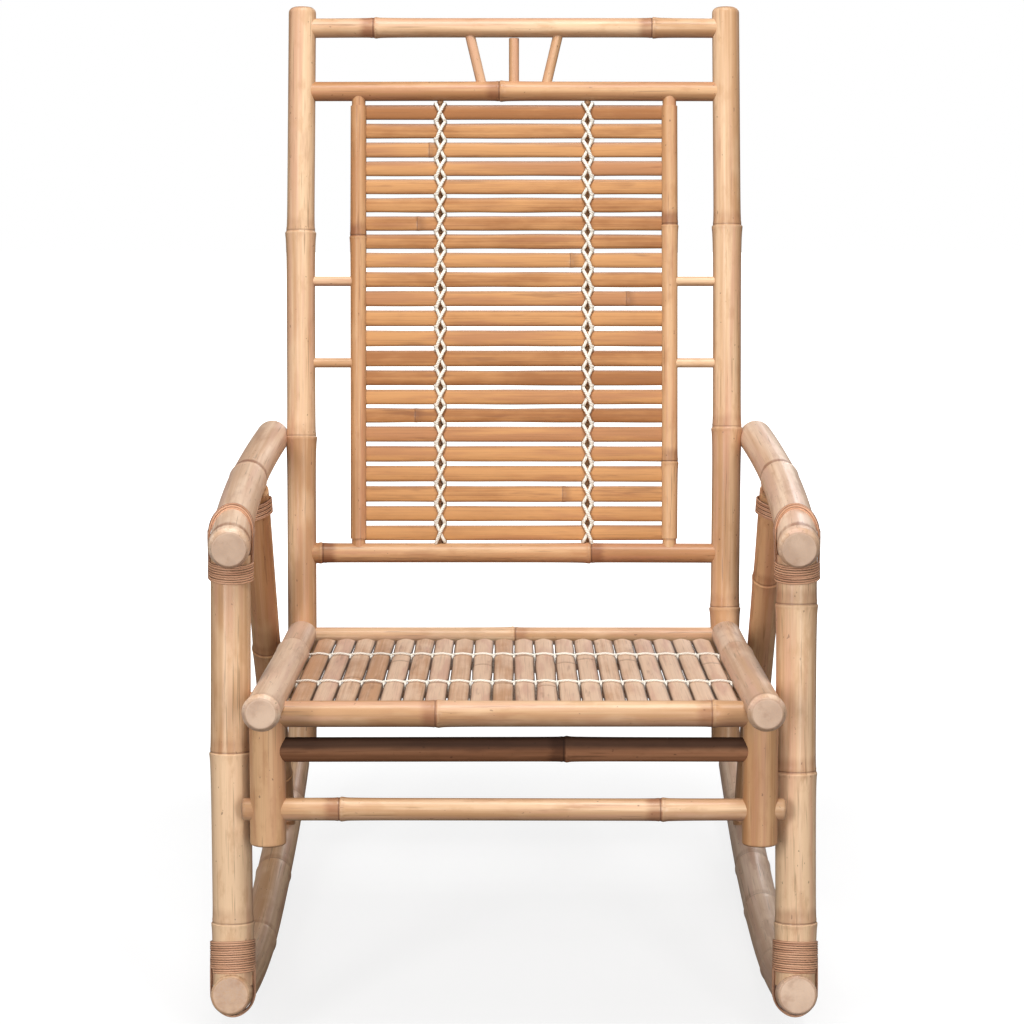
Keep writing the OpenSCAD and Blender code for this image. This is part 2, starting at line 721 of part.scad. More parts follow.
module side_rail(side) {
    length = rail_length - RAIL_SADDLE;
    rear_r = side_rail_r + (side_rail_rear_r - side_rail_r) * length / rail_length;
    color(CULM) on_side(side) seat_frame() {
        difference() {
            translate([rail_x, 0, 0]) rotate([-90, 0, 0])
                culm(length, side_rail_r, rear_r, of_side(SIDE_RAIL_NODES, side), EDGE, 0.5);
            translate([rail_x, rail_length, 0]) rotate([seat_angle - back_angle, 0, 0])
                cylinder(h = 4 * post_r, r = post_r + fit, center = true);
            twin_tenons(front_setback, FRONT_TENON_Z, TENON_R + fit, FRONT_TENON_X - fit);
            translate([rail_x, front_setback, -stub_drop])
                cylinder(h = stub_drop + STUB_TENON_Z + fit, r = LEG_TENON_R + fit);
            for (y = [front_bar_y, rear_bar_y])
                twin_tenons(y, BAR_TENON_Z, BAR_TENON_R + fit, BAR_TENON_X - fit);
            rotate([seat_angle, 0, 0])
                translate(front_crossing - [0, rail_start_y, seat_height])
                    cross_rod(rail_x - PIN_REACH - fit, leg_x, PIN_R + fit);
        }
        translate([rail_x, rail_length - 3 * post_r, 0]) rotate([-90, 0, 0])
            cylinder(h = 2 * post_r + TENON, r = TENON_R);
    }
}

module stub_leg(side) {
    color(OLD_CULM) on_side(side) seat_frame() {
        difference() {
            translate([rail_x, front_setback, -stub_drop])
                culm(stub_drop - SADDLE, stub_r, stub_r, [], RAIL_EDGE, 1);
            side_rail_solids(fit);
            translate([0, front_setback, -stretcher_drop])
                cross_rod(rail_x - 2 * stub_r, rail_x + 2 * stub_r, stretcher_r + fit);
            twin_tenons(front_setback, -lower_rail_drop, TENON_R + fit, LOWER_TENON_X - fit);
        }
        translate([rail_x, front_setback, -2 * stub_r])
            cylinder(h = 2 * stub_r + STUB_TENON_Z, r = LEG_TENON_R);
    }
}

module seat_front_rail() {
    reach = rail_x - SADDLE;
    groove_w = seat_slat_count * seat_pitch;
    color(CULM) seat_frame() difference() {
        union() {
            difference() {
                translate([-reach, front_setback, -front_rail_drop]) rotate([0, 90, 0])
                    culm(2 * reach, front_rail_r, front_rail_r, FRONT_RAIL_NODES, 0.5, 0.5);
                side_rail_solids(fit);
                stub_solids(fit);
            }
            twin_tenons(front_setback, FRONT_TENON_Z, TENON_R, FRONT_TENON_X);
        }
        translate([-groove_w / 2, slat_front_end - fit, slat_mid_z - slat_t / 2 - fit])
            cube([groove_w, 2 * front_rail_r, slat_t + 2 * fit]);
    }
}

module lower_front_rail() {
    reach = rail_x - SADDLE;
    color(OLD_CULM) seat_frame() {
        difference() {
            translate([-reach, front_setback, -lower_rail_drop]) rotate([0, 90, 0])
                culm(2 * reach, lower_rail_r, lower_rail_r, LOWER_RAIL_NODES, 0.5, 0.5);
            stub_solids(fit);
        }
        twin_tenons(front_setback, -lower_rail_drop, TENON_R, LOWER_TENON_X);
    }
}

module stretcher() {
    reach = rail_x + stub_r + TENON;
    color(CULM) seat_frame() translate([-reach, front_setback, -stretcher_drop]) rotate([0, 90, 0])
        culm(2 * reach, stretcher_r, stretcher_r, STRETCHER_NODES, 2 * RAIL_EDGE, 2 * RAIL_EDGE);
}

// One seat slat, counted from the left: its rear end is rounded in plan
module seat_slat(k) {
    x = (k - (seat_slat_count - 1) / 2) * seat_pitch;
    rear = rail_length - slat_rear_gap;
    flat_length = rear - slat_front_end - SLAT_END_R + sqrt(SLAT_END_R ^ 2 - (seat_slat_w / 2) ^ 2);
    seat_frame() translate([x, 0, slat_mid_z - slat_t / 2]) intersection() {
        translate([0, rear, 0]) rotate([90, 0, 0])
            linear_extrude(rear - slat_front_end) slat_outline(seat_slat_w, SEAT_ROUND);
        linear_extrude(slat_t) union() {
            translate([-seat_slat_w / 2, slat_front_end]) square([seat_slat_w, flat_length]);
            translate([0, rear - SLAT_END_R]) circle(r = SLAT_END_R, $fn = 64);
        }
    }
}

module seat_slats(group) {
    first = (group - 1) * SLATS_PER_NODE;
    color(SEAT_SLAT) for (k = [first:1:min(first + SLATS_PER_NODE, seat_slat_count) - 1]) seat_slat(k);
}

module seat_bar(y) {
    reach = rail_x - SADDLE;
    color(OLD_CULM) seat_frame() {
        difference() {
            translate([-reach, y, seat_bar_z]) rotate([0, 90, 0])
                culm(2 * reach, seat_bar_r, seat_bar_r, [], 0.5, 0.5);
            side_rail_solids(fit);
        }
        twin_tenons(y, BAR_TENON_Z, BAR_TENON_R, BAR_TENON_X);
    }
}

// A cord or cane swept along points. Each ring lies across the path, and each
// takes its turn from the ring before, so that the tube never twists.
function ring_axes(path) = [
    for (i = [0:len(path) - 1])
        unit(path[min(i + 1, len(path) - 1)] - path[max(i - 1, 0)])
];
function square_to(v, axis) = unit(v - (v * axis) * axis);
function ring_turns(axes, i, turns) =
    i == len(axes) ? turns : ring_turns(axes, i + 1, concat(turns, [square_to(last(turns), axes[i])]));

module tube(path, r, sides) {
    axes = ring_axes(path);
    first_side = abs(axes[0][2]) < 0.9 ? [0, 0, 1] : [0, 1, 0];
    turns = ring_turns(axes, 1, [square_to(first_side, axes[0])]);
    count = len(path);
    points = [
        for (i = [0:count - 1], a = [0:360 / sides:359])
            path[i] + r * (cos(a) * turns[i] + sin(a) * cross(axes[i], turns[i]))
    ];
    walls = [
        for (i = [0:count - 2], k = [0:sides - 1])
            let (a = i * sides + k, b = i * sides + (k + 1) % sides)
                each [[a, b + sides, b], [a, a + sides, b + sides]]
    ];
    caps = [
        [for (k = [0:sides - 1]) k],
        [for (k = [0:sides - 1]) count * sides - 1 - k]
    ];
    polyhedron(points, concat(walls, caps));
}

// Least gap of a tube to itself, between points that lie at least apart points from each other
function self_gap(path, r, apart) = min([
    for (i = [0:len(path) - 1 - apart], j = [i + apart:len(path) - 1]) norm(path[i] - path[j])
]) - 2 * r;

// The back lacing climbs the panel, crossing each slat's face and going behind the
// upright in each gap, and comes down again over its own strands: points in the back frame
cord_face_y = slat_front_y - cord_r - 2 * CORD_GAP;
cord_edge_y = cord_face_y + slat_t - slat_edge_t;
over_strand_y = cord_face_y - 2 * cord_r - 2 * CORD_GAP;
gap_step = cord_r + CORD_GAP;
behind_r = upright_r + cord_r + CORD_GAP;
function middle_h(k) = back_slat_first + k * back_pitch;
function pass_h(k, step) =
    k < back_slat_count ? middle_h(k - 0.5) + step : middle_h(k - 1) + back_slat_w / 2 + gap_step;
function behind_upright(k, step) = [
    [lacing_x + behind_r, upright_y + behind_r, pass_h(k, step)],
    [lacing_x - behind_r, upright_y + behind_r, pass_h(k, step)]
];
function climbing(k) = [
    [lacing_x - cross_half_w, cord_edge_y, pass_h(k, gap_step)],
    [lacing_x, cord_face_y, middle_h(k)],
    [lacing_x + cross_half_w, cord_edge_y, pass_h(k + 1, gap_step)]
];
function descending(k) = [
    [lacing_x - cross_half_w, cord_edge_y, pass_h(k + 1, -gap_step)],
    [lacing_x - cross_half_w / 3, over_strand_y, middle_h(k + 0.16)],
    [lacing_x + cross_half_w / 3, over_strand_y, middle_h(k - 0.16)],
    [lacing_x + cross_half_w, cord_edge_y, pass_h(k, -gap_step)]
];
back_cord = concat(
    behind_upright(0, gap_step),
    [for (k = [0:back_slat_count - 1]) each concat(climbing(k), behind_upright(k + 1, gap_step))],
    [for (k = [back_slat_count - 1:-1:0]) each concat(descending(k), behind_upright(k, -gap_step))]
);

module back_lacing(side) {
    echo("back lacing, least gap to itself", self_gap(back_cord, cord_r, 3));
    color(CORD) on_side(side) back_frame() tube(back_cord, cord_r, CORD_SIDES);
}

// The seat lacing lies over each slat, drops through the gap, goes round the bar and
// comes up again behind it: points in the seat frame, about the bar at y
seat_cord_y = 2 * cord_r - CORD_GAP;
bar_turn_r = (seat_bar_r + cord_r + CORD_GAP) / cos(30);
seat_crown_z = cord_r + 2 * CORD_GAP - slat_sink;
seat_rim_z = seat_crown_z - SEAT_ROUND + sqrt(SEAT_ROUND ^ 2 - (seat_slat_w / 2) ^ 2);
function seat_gap_x(k) = (k - seat_slat_count / 2) * seat_pitch;
function round_the_bar(k, y) = concat(
    [[seat_gap_x(k), y - 2 * seat_cord_y, seat_rim_z]],
    [
        for (a = [180:60:360])
            [seat_gap_x(k), y + bar_turn_r * cos(a), seat_bar_z + bar_turn_r * sin(a)]
    ],
    [[seat_gap_x(k), y + 2 * seat_cord_y, seat_rim_z]]
);
function over_slat(k, y) = [
    [seat_gap_x(k) + seat_slat_gap, y + seat_cord_y, seat_rim_z + cord_r],
    [seat_gap_x(k + 0.5), y, seat_crown_z],
    [seat_gap_x(k + 1) - seat_slat_gap, y - seat_cord_y, seat_rim_z + cord_r]
];
function seat_cord(y) = concat(
    round_the_bar(0, y),
    [for (k = [0:seat_slat_count - 1]) each concat(over_slat(k, y), round_the_bar(k + 1, y))]
);

module seat_lacing(y) {
    echo("seat lacing, least gap to itself", self_gap(seat_cord(y), cord_r, 4));
    color(CORD) seat_frame() tube(seat_cord(y), cord_r, CORD_SIDES);
}

// Turns of cane round a leg. base is where the leg's axis meets the beam's axis, up
// points along the leg, along points along the beam. Turns lie parallel to the beam
// and tilt across it by skew, and w is the distance from base along the leg.
function cane_turn(base, up, along, leg_r, psi, w, skew) =
    let (
        side = unit(along - (along * up) * up),
        r = (leg_r + CANE_GAP + cane_r) / cos(180 / CANE_STEPS),
        tilt = (along * up) / sqrt(1 - (along * up) ^ 2),
        lift = w + r * (tilt * sin(psi) + skew * cos(psi))
    ) base + up * lift + [r * cos(psi), 0, 0] + side * r * sin(psi);
function cane_arc(base, up, along, beam_r, v, lean) = [
    for (phi = [0:ARC_STEP:180])
        base + along * (v + lean * sin(phi)) + (beam_r + CANE_GAP + cane_r) / cos(ARC_STEP / 2)
            * (cos(phi) * unit([1, 0, 0] - along[0] * along)
                - sin(phi) * unit(up - (up * along) * along))
];
function cane_start(up, along, leg_r, beam_r, skew) =
    (beam_r + 2 * CANE_GAP + cane_r) / sqrt(1 - (along * up) ^ 2)
        + abs(skew) * (leg_r + CANE_GAP + cane_r);
function turn_rise(up, along, skew) =
    cane_pitch * sqrt(1 + (along * up) ^ 2 / (1 - (along * up) ^ 2) + skew ^ 2);

// Turns alone, from psi 0, one rise to a turn
function plain_turns(base, up, along, leg_r, beam_r, turns, skew) =
    let (w0 = cane_start(up, along, leg_r, beam_r, skew), rise = turn_rise(up, along, skew)) [
        for (i = [0:turns * CANE_STEPS])
            cane_turn(base, up, along, leg_r, i * 360 / CANE_STEPS, w0 + rise * i / CANE_STEPS, skew)
    ];

// Turns that end in two loops over the beam, each at its own place along it. over is the
// beam's direction there, and lean is how far the loops' tops lie behind their sides.
function looped_turns(base, up, along, leg_r, beam_r, turns, loops, over, lean) =
    let (
        w0 = cane_start(up, along, leg_r, beam_r, 0),
        rise = turn_rise(up, along, 0),
        step = 360 / CANE_STEPS,
        first = asin(loops[0] / (leg_r + CANE_GAP + cane_r)),
        second = asin(loops[1] / (leg_r + CANE_GAP + cane_r))
    ) concat(
        [
            for (psi = [-360 * turns:step:first])
                cane_turn(base, up, along, leg_r, psi, w0 + (2 - psi / 360) * rise, 0)
        ],
        cane_arc(base, up, over, beam_r, loops[0], lean),
        [
            for (psi = [180 - first:step:360 + second])
                cane_turn(base, up, along, leg_r, psi, w0 + (1.5 - (psi - 180) / 360) * rise, 0)
        ],
        cane_arc(base, up, over, beam_r, loops[1], lean),
        [
            for (psi = [180 - second:step:360 + second - LAST_TURN_GAP])
                cane_turn(base, up, along, leg_r, psi, w0 + (0.5 - (psi - 180) / 360) * rise, 0)
        ]
    );

module lashing(side, path) {
    echo("lashing, least gap to itself", self_gap(path, cane_r, CANE_STEPS / 2));
    color(CANE) on_side(side) tube(path, cane_r, CANE_SIDES);
}

// Direction of a rocker's axis at a place y
function rocker_along(y) =
    unit([0, rocker_low_z + rocker_bend(y) - rocker_z(y), y - rocker_low_y]);

module foot_lashing(side) {
    lashing(side, looped_turns(
        front_foot, unit(front_head - front_foot), rocker_along(front_foot_y),
        front_leg_r, rocker_r, foot_turns, FOOT_LOOPS, rocker_along(front_foot_y), 0
    ));
}

module arm_lashing(side) {
    lashing(side, looped_turns(
        front_head, unit(front_foot - front_head), arm_along,
        front_leg_r, arm_middle_r, arm_turns, ARM_LOOPS, arm_front_along, ARM_LOOP_LEAN
    ));
}

module rear_foot_lashing(side) {
    lashing(side, plain_turns(
        rear_foot, unit(rear_head - rear_foot), rocker_along(rear_foot_y), rear_leg_r, rocker_r,
        rear_foot_turns, 0
    ));
}

module rear_arm_lashing(side) {
    lashing(side, plain_turns(
        rear_head, unit(rear_foot - rear_head), arm_along, rear_leg_r, arm_middle_r,
        rear_arm_turns, 0.35
    ));
}

module pin(x0, x1, place) {
    translate(place) cross_rod(x0, x1, PIN_R);
}

module hidden_pins() {
    color(OLD_CULM) for (side = [-1, 1]) on_side(side) {
        pin(rail_x - PIN_REACH, leg_x + PIN_REACH, front_crossing);
        pin(rail_x - PIN_REACH, leg_x + PIN_REACH, rear_pin);
        pin(rail_x - PIN_REACH, arm_rear[0] + PIN_REACH, [0, arm_rear[1], arm_rear[2]]);
    }
}

rocker(-1);  // rocker_left
rocker(1);  // rocker_right
front_leg(-1);  // front_leg_left
front_leg(1);  // front_leg_right
rear_leg(-1);  // rear_leg_left
rear_leg(1);  // rear_leg_right
armrest(-1);  // armrest_left
armrest(1);  // armrest_right
back_post(-1);  // back_post_left
back_post(1);  // back_post_right
side_rail(-1);  // side_rail_left
side_rail(1);  // side_rail_right
stub_leg(-1);  // stub_leg_left
stub_leg(1);  // stub_leg_right
seat_front_rail();
seat_rear_rail();
lower_front_rail();
stretcher();
top_rail();
second_rail();
low_back_rail();
fan_stick(-1);  // fan_stick_left
fan_stick(0);  // fan_stick_middle
fan_stick(1);  // fan_stick_right
stile(-1);  // stile_left
stile(1);  // stile_right
peg(-1, low_peg_h);  // peg_low_left
peg(1, low_peg_h);  // peg_low_right
peg(-1, high_peg_h);  // peg_high_left
peg(1, high_peg_h);  // peg_high_right
back_slats(1);  // back_slats_1
back_slats(2);  // back_slats_2
back_slats(3);  // back_slats_3
back_slats(4);  // back_slats_4
back_slats(5);  // back_slats_5
back_slats(6);  // back_slats_6
upright(-1);  // upright_left
upright(1);  // upright_right
back_lacing(-1);  // back_lacing_left
back_lacing(1);  // back_lacing_right
seat_slats(1);  // seat_slats_1
seat_slats(2);  // seat_slats_2
seat_slats(3);  // seat_slats_3
seat_slats(4);  // seat_slats_4
seat_slats(5);  // seat_slats_5
seat_bar(front_bar_y);  // seat_bar_front
seat_bar(rear_bar_y);  // seat_bar_rear
seat_lacing(front_bar_y);  // seat_lacing_front
seat_lacing(rear_bar_y);  // seat_lacing_rear
foot_lashing(-1);  // foot_lashing_left
foot_lashing(1);  // foot_lashing_right
arm_lashing(-1);  // arm_lashing_left
arm_lashing(1);  // arm_lashing_right
rear_foot_lashing(-1);  // rear_foot_lashing_left
rear_foot_lashing(1);  // rear_foot_lashing_right
rear_arm_lashing(-1);  // rear_arm_lashing_left
rear_arm_lashing(1);  // rear_arm_lashing_right
hidden_pins();
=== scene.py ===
"""Bamboo rocking chair: culms, split slats, lacing cord and cane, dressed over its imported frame."""

import logging
import math
from collections.abc import Callable, Iterable, Sequence
from dataclasses import dataclass, field
from enum import Enum
from functools import cached_property

import bpy
import numpy as np
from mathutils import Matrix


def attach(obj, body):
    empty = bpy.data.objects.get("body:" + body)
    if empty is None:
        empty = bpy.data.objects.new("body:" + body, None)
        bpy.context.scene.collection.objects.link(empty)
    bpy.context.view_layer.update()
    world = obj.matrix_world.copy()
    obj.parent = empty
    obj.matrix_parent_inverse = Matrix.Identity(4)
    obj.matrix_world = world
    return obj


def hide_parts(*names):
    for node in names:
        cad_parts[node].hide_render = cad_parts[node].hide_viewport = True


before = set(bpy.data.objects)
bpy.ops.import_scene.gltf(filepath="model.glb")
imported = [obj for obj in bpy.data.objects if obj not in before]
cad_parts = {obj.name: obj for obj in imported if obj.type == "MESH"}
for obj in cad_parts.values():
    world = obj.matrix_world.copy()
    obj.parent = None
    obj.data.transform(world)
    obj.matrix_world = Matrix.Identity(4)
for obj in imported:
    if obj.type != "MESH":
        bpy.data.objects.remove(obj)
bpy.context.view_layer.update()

logging.basicConfig(level=logging.INFO, format="%(message)s")
log = logging.getLogger("chair")

MM = 0.001
FAR = 999.0
SHARP_EDGE = math.radians(48)
X, Y, Z = np.eye(3)
WHITE = (1, 1, 1, 1)
Vec = np.ndarray
Colour = tuple[float, float, float]


def vec(x: float, y: float, z: float) -> Vec:
    """A point or direction."""
    return np.array([x, y, z], float)


def unit(v: Vec) -> Vec:
    """The same directions with length 1."""
    return v / np.linalg.norm(v, axis=-1, keepdims=True)


def run_along(path: Vec) -> Vec:
    """Distance of each point of a path from its start."""
    return np.concatenate([[0], np.cumsum(np.linalg.norm(np.diff(path, axis=0), axis=1))])


def srgb(red: int, green: int, blue: int) -> Colour:
    """A screen colour, 0 to 255 a channel, as the renderer's linear colour."""
    return tuple((c / 255 / 12.92) if c < 11 else ((c / 255 + 0.055) / 1.055) ** 2.4
                 for c in (red, green, blue))


def times(colour: Colour, share: float) -> Colour:
    """A colour with each channel times share."""
    return tuple(c * share for c in colour)


# --------------------------------------------------------------------------- skeleton


@dataclass(frozen=True)
class Skeleton:
    """Where the chair's axes run, in millimetres: the same named sizes as the solids."""

    depth: float = 904
    rail_x: float = 244
    fit: float = 0.3
    rocker_r: float = 20.2
    rocker_front_bend: float = 1452
    rocker_rear_bend: float = 2260
    rocker_low_setback: float = 401
    rocker_front_setback: float = 47
    collar_rise: float = 0.2
    front_leg_r: float = 20.4
    front_foot_setback: float = 76
    front_leg_lean: float = math.radians(6.9)
    rear_leg_r: float = 16
    rear_foot_reach: float = 153
    rear_leg_rake: float = math.radians(33.4)
    stub_r: float = 17.8
    stub_drop: float = 138
    arm_height: float = 512
    arm_slope: float = math.radians(3.7)
    arm_rear_r: float = 19.3
    arm_bow: float = 6
    arm_overhang: float = 46
    arm_tail: float = 18
    seat_height: float = 364
    seat_angle: float = math.radians(4.4)
    seat_depth: float = 556
    side_rail_r: float = 17.9
    side_rail_rear_r: float = 16.6
    front_setback: float = 77
    back_angle: float = math.radians(10)
    post_r: float = 16.2
    post_drop: float = 133
    low_rail_h: float = 92.5
    second_rail_h: float = 625
    top_rail_rise: float = 73
    post_head: float = 23.8
    back_rail_r: float = 11.1
    slat_t: float = 4.8
    upright_r: float = 3.7
    lacing_x: float = 85
    edge: float = 5

    @cached_property
    def leg_x(self) -> float:
        """Distance of the legs and rockers from the middle."""
        return self.rail_x + self.side_rail_r + self.front_leg_r + self.fit

    @cached_property
    def front_y(self) -> float:
        """The front of the side rails."""
        return -self.depth / 2

    @cached_property
    def rail_start_y(self) -> float:
        """Where the side rails' axes meet their front faces."""
        return (self.side_rail_r - self.edge) * math.sin(self.seat_angle) + self.front_y

    @cached_property
    def post_foot(self) -> Vec:
        """Where the side rails meet the back posts, in the middle plane."""
        return vec(0, self.rail_start_y + self.seat_depth,
                   self.seat_height - self.seat_depth * math.tan(self.seat_angle))

    @cached_property
    def rail_length(self) -> float:
        """Length of the side rails up to the posts' axes."""
        return self.seat_depth / math.cos(self.seat_angle)

    @cached_property
    def top_rail_h(self) -> float:
        """Height of the top rail along the posts."""
        return self.second_rail_h + self.top_rail_rise

    @cached_property
    def rocker_low(self) -> Vec:
        """The lowest point of the right rocker's axis."""
        return vec(self.leg_x, self.front_y + self.rocker_low_setback, self.rocker_r + self.collar_rise)

    def rocker_bend(self, y: float) -> float:
        """Radius of the rockers' arc at a place y."""
        return self.rocker_front_bend if y < self.rocker_low[1] else self.rocker_rear_bend

    def rocker_point(self, y: float) -> Vec:
        """The right rocker's axis at a place y."""
        bend, low = self.rocker_bend(y), self.rocker_low
        return vec(self.leg_x, y, low[2] + bend - math.sqrt(bend**2 - (y - low[1]) ** 2))

    def rocker_along(self, y: float) -> Vec:
        """Direction of the rockers' axes at a place y."""
        turn = math.asin((y - self.rocker_low[1]) / self.rocker_bend(y))
        return vec(0, math.cos(turn), math.sin(turn))

    @cached_property
    def front_foot(self) -> Vec:
        """Where the right front leg's axis meets the rocker's."""
        return self.rocker_point(self.front_y + self.front_foot_setback)

    @cached_property
    def front_head(self) -> Vec:
        """Where the right front leg's axis meets the armrest's."""
        rise = self.arm_height - self.front_foot[2]
        return self.front_foot + vec(0, rise * math.tan(self.front_leg_lean), rise)

    @cached_property
    def rear_foot(self) -> Vec:
        """Where the right rear leg's axis meets the rocker's."""
        return self.rocker_point(self.post_foot[1] + self.rear_foot_reach)

    def _at_arm(self, x: float, foot: Vec, angle: float) -> Vec:
        """Where a line that rises from foot and leans back by an angle reaches the armrests."""
        lean, slope = math.tan(angle), math.tan(self.arm_slope)
        reach = foot[1] - foot[2] * lean - self.front_head[1]
        z = (self.arm_height + reach * slope) / (1 - lean * slope)
        return vec(x, foot[1] + (z - foot[2]) * lean, z)

    @cached_property
    def rear_head(self) -> Vec:
        """Where the right rear leg's axis meets the armrest's."""
        return self._at_arm(self.leg_x, self.rear_foot, -self.rear_leg_rake)

    @cached_property
    def arm_rear(self) -> Vec:
        """Where the right armrest passes the back post."""
        x = self.rail_x + self.post_r + self.arm_rear_r + self.fit
        return self._at_arm(x, self.post_foot, self.back_angle)

    @staticmethod
    def _tilted(points: Vec | Sequence, y0: float, z0: float, angle: float) -> Vec:
        """Points of a frame that starts at (0, y0, z0) and leans back by an angle."""
        x, y, z = np.moveaxis(np.asarray(points, float), -1, 0)
        c, s = math.cos(angle), math.sin(angle)
        return np.stack([x, y0 + c * y + s * z, z0 - s * y + c * z], axis=-1)

    def seat(self, points: Vec | Sequence) -> Vec:
        """Points of the seat's frame: y back along the side rails, z square to them."""
        return self._tilted(points, self.rail_start_y, self.seat_height, self.seat_angle)

    def back(self, points: Vec | Sequence) -> Vec:
        """Points of the back's frame: z up along the posts, y square to them."""
        return self._tilted(points, *self.post_foot[1:], self.back_angle)


S = Skeleton()


class Side(Enum):
    """Which side of the chair a piece is on, seen from the front."""

    LEFT = -1
    RIGHT = 1

    @property
    def word(self) -> str:
        """The side's name as the nodes write it."""
        return self.name.lower()


# --------------------------------------------------------------------------- meshes


@dataclass
class Shape:
    """A closed surface in millimetres, with its marks: one number or vector for each point."""

    points: Vec
    faces: list[tuple[int, ...]]
    marks: dict[str, Vec] = field(default_factory=dict)

    def flip(self) -> None:
        """Turns each face over."""
        self.faces = [face[::-1] for face in self.faces]

    def put(self, side: Side | None) -> "Shape":
        """The surface, made for the right side, on a side of the chair."""
        if side is Side.LEFT:
            self.points = self.points * vec(-1, 1, 1)
            self.flip()
        return self


def swept(centres: Vec, across: Vec, up: Vec, outline: Vec, scale: Vec) -> tuple[Shape, Vec]:
    """Sweeps a closed outline along a path.

    Args:
        centres: the path's points.
        across: for each point, the direction of the outline's first axis.
        up: for each point, the direction of the outline's second axis.
        outline: the closed outline, as points in those two axes, or one such for each point.
        scale: for each point, how large the outline is there, on each axis.

    Returns:
        The swept surface, closed at both ends, and each point's place on its outline.
    """
    count, sides = len(centres), outline.shape[-2]
    flat = outline * scale[:, None, :]
    points = centres[:, None, :] + flat[..., :1] * across[:, None, :] + flat[..., 1:] * up[:, None, :]
    faces: list[tuple[int, ...]] = []
    for i in range(count - 1):
        for k in range(sides):
            a, b = i * sides + k, i * sides + (k + 1) % sides
            faces.append((a, b, b + sides, a + sides))
    faces.append(tuple(range(sides))[::-1])
    faces.append(tuple((count - 1) * sides + k for k in range(sides)))
    return Shape(points.reshape(-1, 3), faces), flat.reshape(-1, 2)


def carried_axes(path: Vec, first: Vec) -> tuple[Vec, Vec]:
    """Carries a cross-section along a path without twisting it.

    Args:
        path: the path's points.
        first: a direction that lies roughly across the path's start.

    Returns:
        For each point, two directions square to the path and to each other.
    """
    along, across, turn = unit(np.gradient(path, axis=0)), np.empty_like(path), first
    for i, axis in enumerate(along):
        turn = unit(turn - (turn @ axis) * axis)
        across[i] = turn
    return across, np.cross(along, across)


def smooth_path(points: Vec, step: float) -> Vec:
    """A smooth curve through points, as points at an even step."""
    ends = np.vstack([2 * points[0] - points[1], points, 2 * points[-1] - points[-2]])
    p0, p1, p2, p3 = ends[:-3], ends[1:-2], ends[2:-1], ends[3:]
    t = np.linspace(0, 1, 12, endpoint=False)[:, None, None]
    curve = 0.5 * (2 * p1 + (p2 - p0) * t + (2 * p0 - 5 * p1 + 4 * p2 - p3) * t**2
                   + (3 * p1 - p0 - 3 * p2 + p3) * t**3)
    dense = np.vstack([curve.transpose(1, 0, 2).reshape(-1, 3), points[-1:]])
    run = run_along(dense)
    even = np.linspace(0, run[-1], max(int(run[-1] / step), 8))
    return np.stack([np.interp(even, run, dense[:, k]) for k in range(3)], axis=1)


def round_outline(sides: int) -> Vec:
    """A circle of radius 1 as a closed outline."""
    turn = np.linspace(0, 2 * math.pi, sides, endpoint=False)
    return np.stack([np.cos(turn), np.sin(turn)], axis=1)


def put_together(name: str, shapes: Iterable[Shape], material: bpy.types.Material,
                 nodes: Sequence[str]) -> None:
    """Makes one piece of the scene from shapes and hangs it on the chair.

    Args:
        name: the piece's name.
        shapes: its closed surfaces.
        material: its finish.
        nodes: the frame's nodes that it replaces.
    """
    points, faces, marks, start = [], [], {}, 0
    for shape in shapes:
        points.append(shape.points * MM)
        faces += [tuple(start + k for k in face) for face in shape.faces]
        for key, values in shape.marks.items():
            marks.setdefault(key, []).append(values)
        start += len(shape.points)
    mesh = bpy.data.meshes.new(name)
    mesh.from_pydata(np.vstack(points).tolist(), [], faces)
    for key, parts in marks.items():
        values = np.concatenate(parts).astype(np.float32)
        kind, member = ("FLOAT", "value") if values.ndim == 1 else ("FLOAT_VECTOR", "vector")
        mesh.attributes.new(key, kind, "POINT").data.foreach_set(member, values.ravel())
    mesh.polygons.foreach_set("use_smooth", [True] * len(mesh.polygons))
    mesh.set_sharp_from_angle(angle=SHARP_EDGE)
    mesh.materials.append(material)
    mesh.update()
    piece = bpy.data.objects.new(name, mesh)
    bpy.context.scene.collection.objects.link(piece)
    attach(piece, "root")
    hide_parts(*nodes)
    log.info("%s: %d faces", name, len(faces))


# --------------------------------------------------------------------------- shader maths


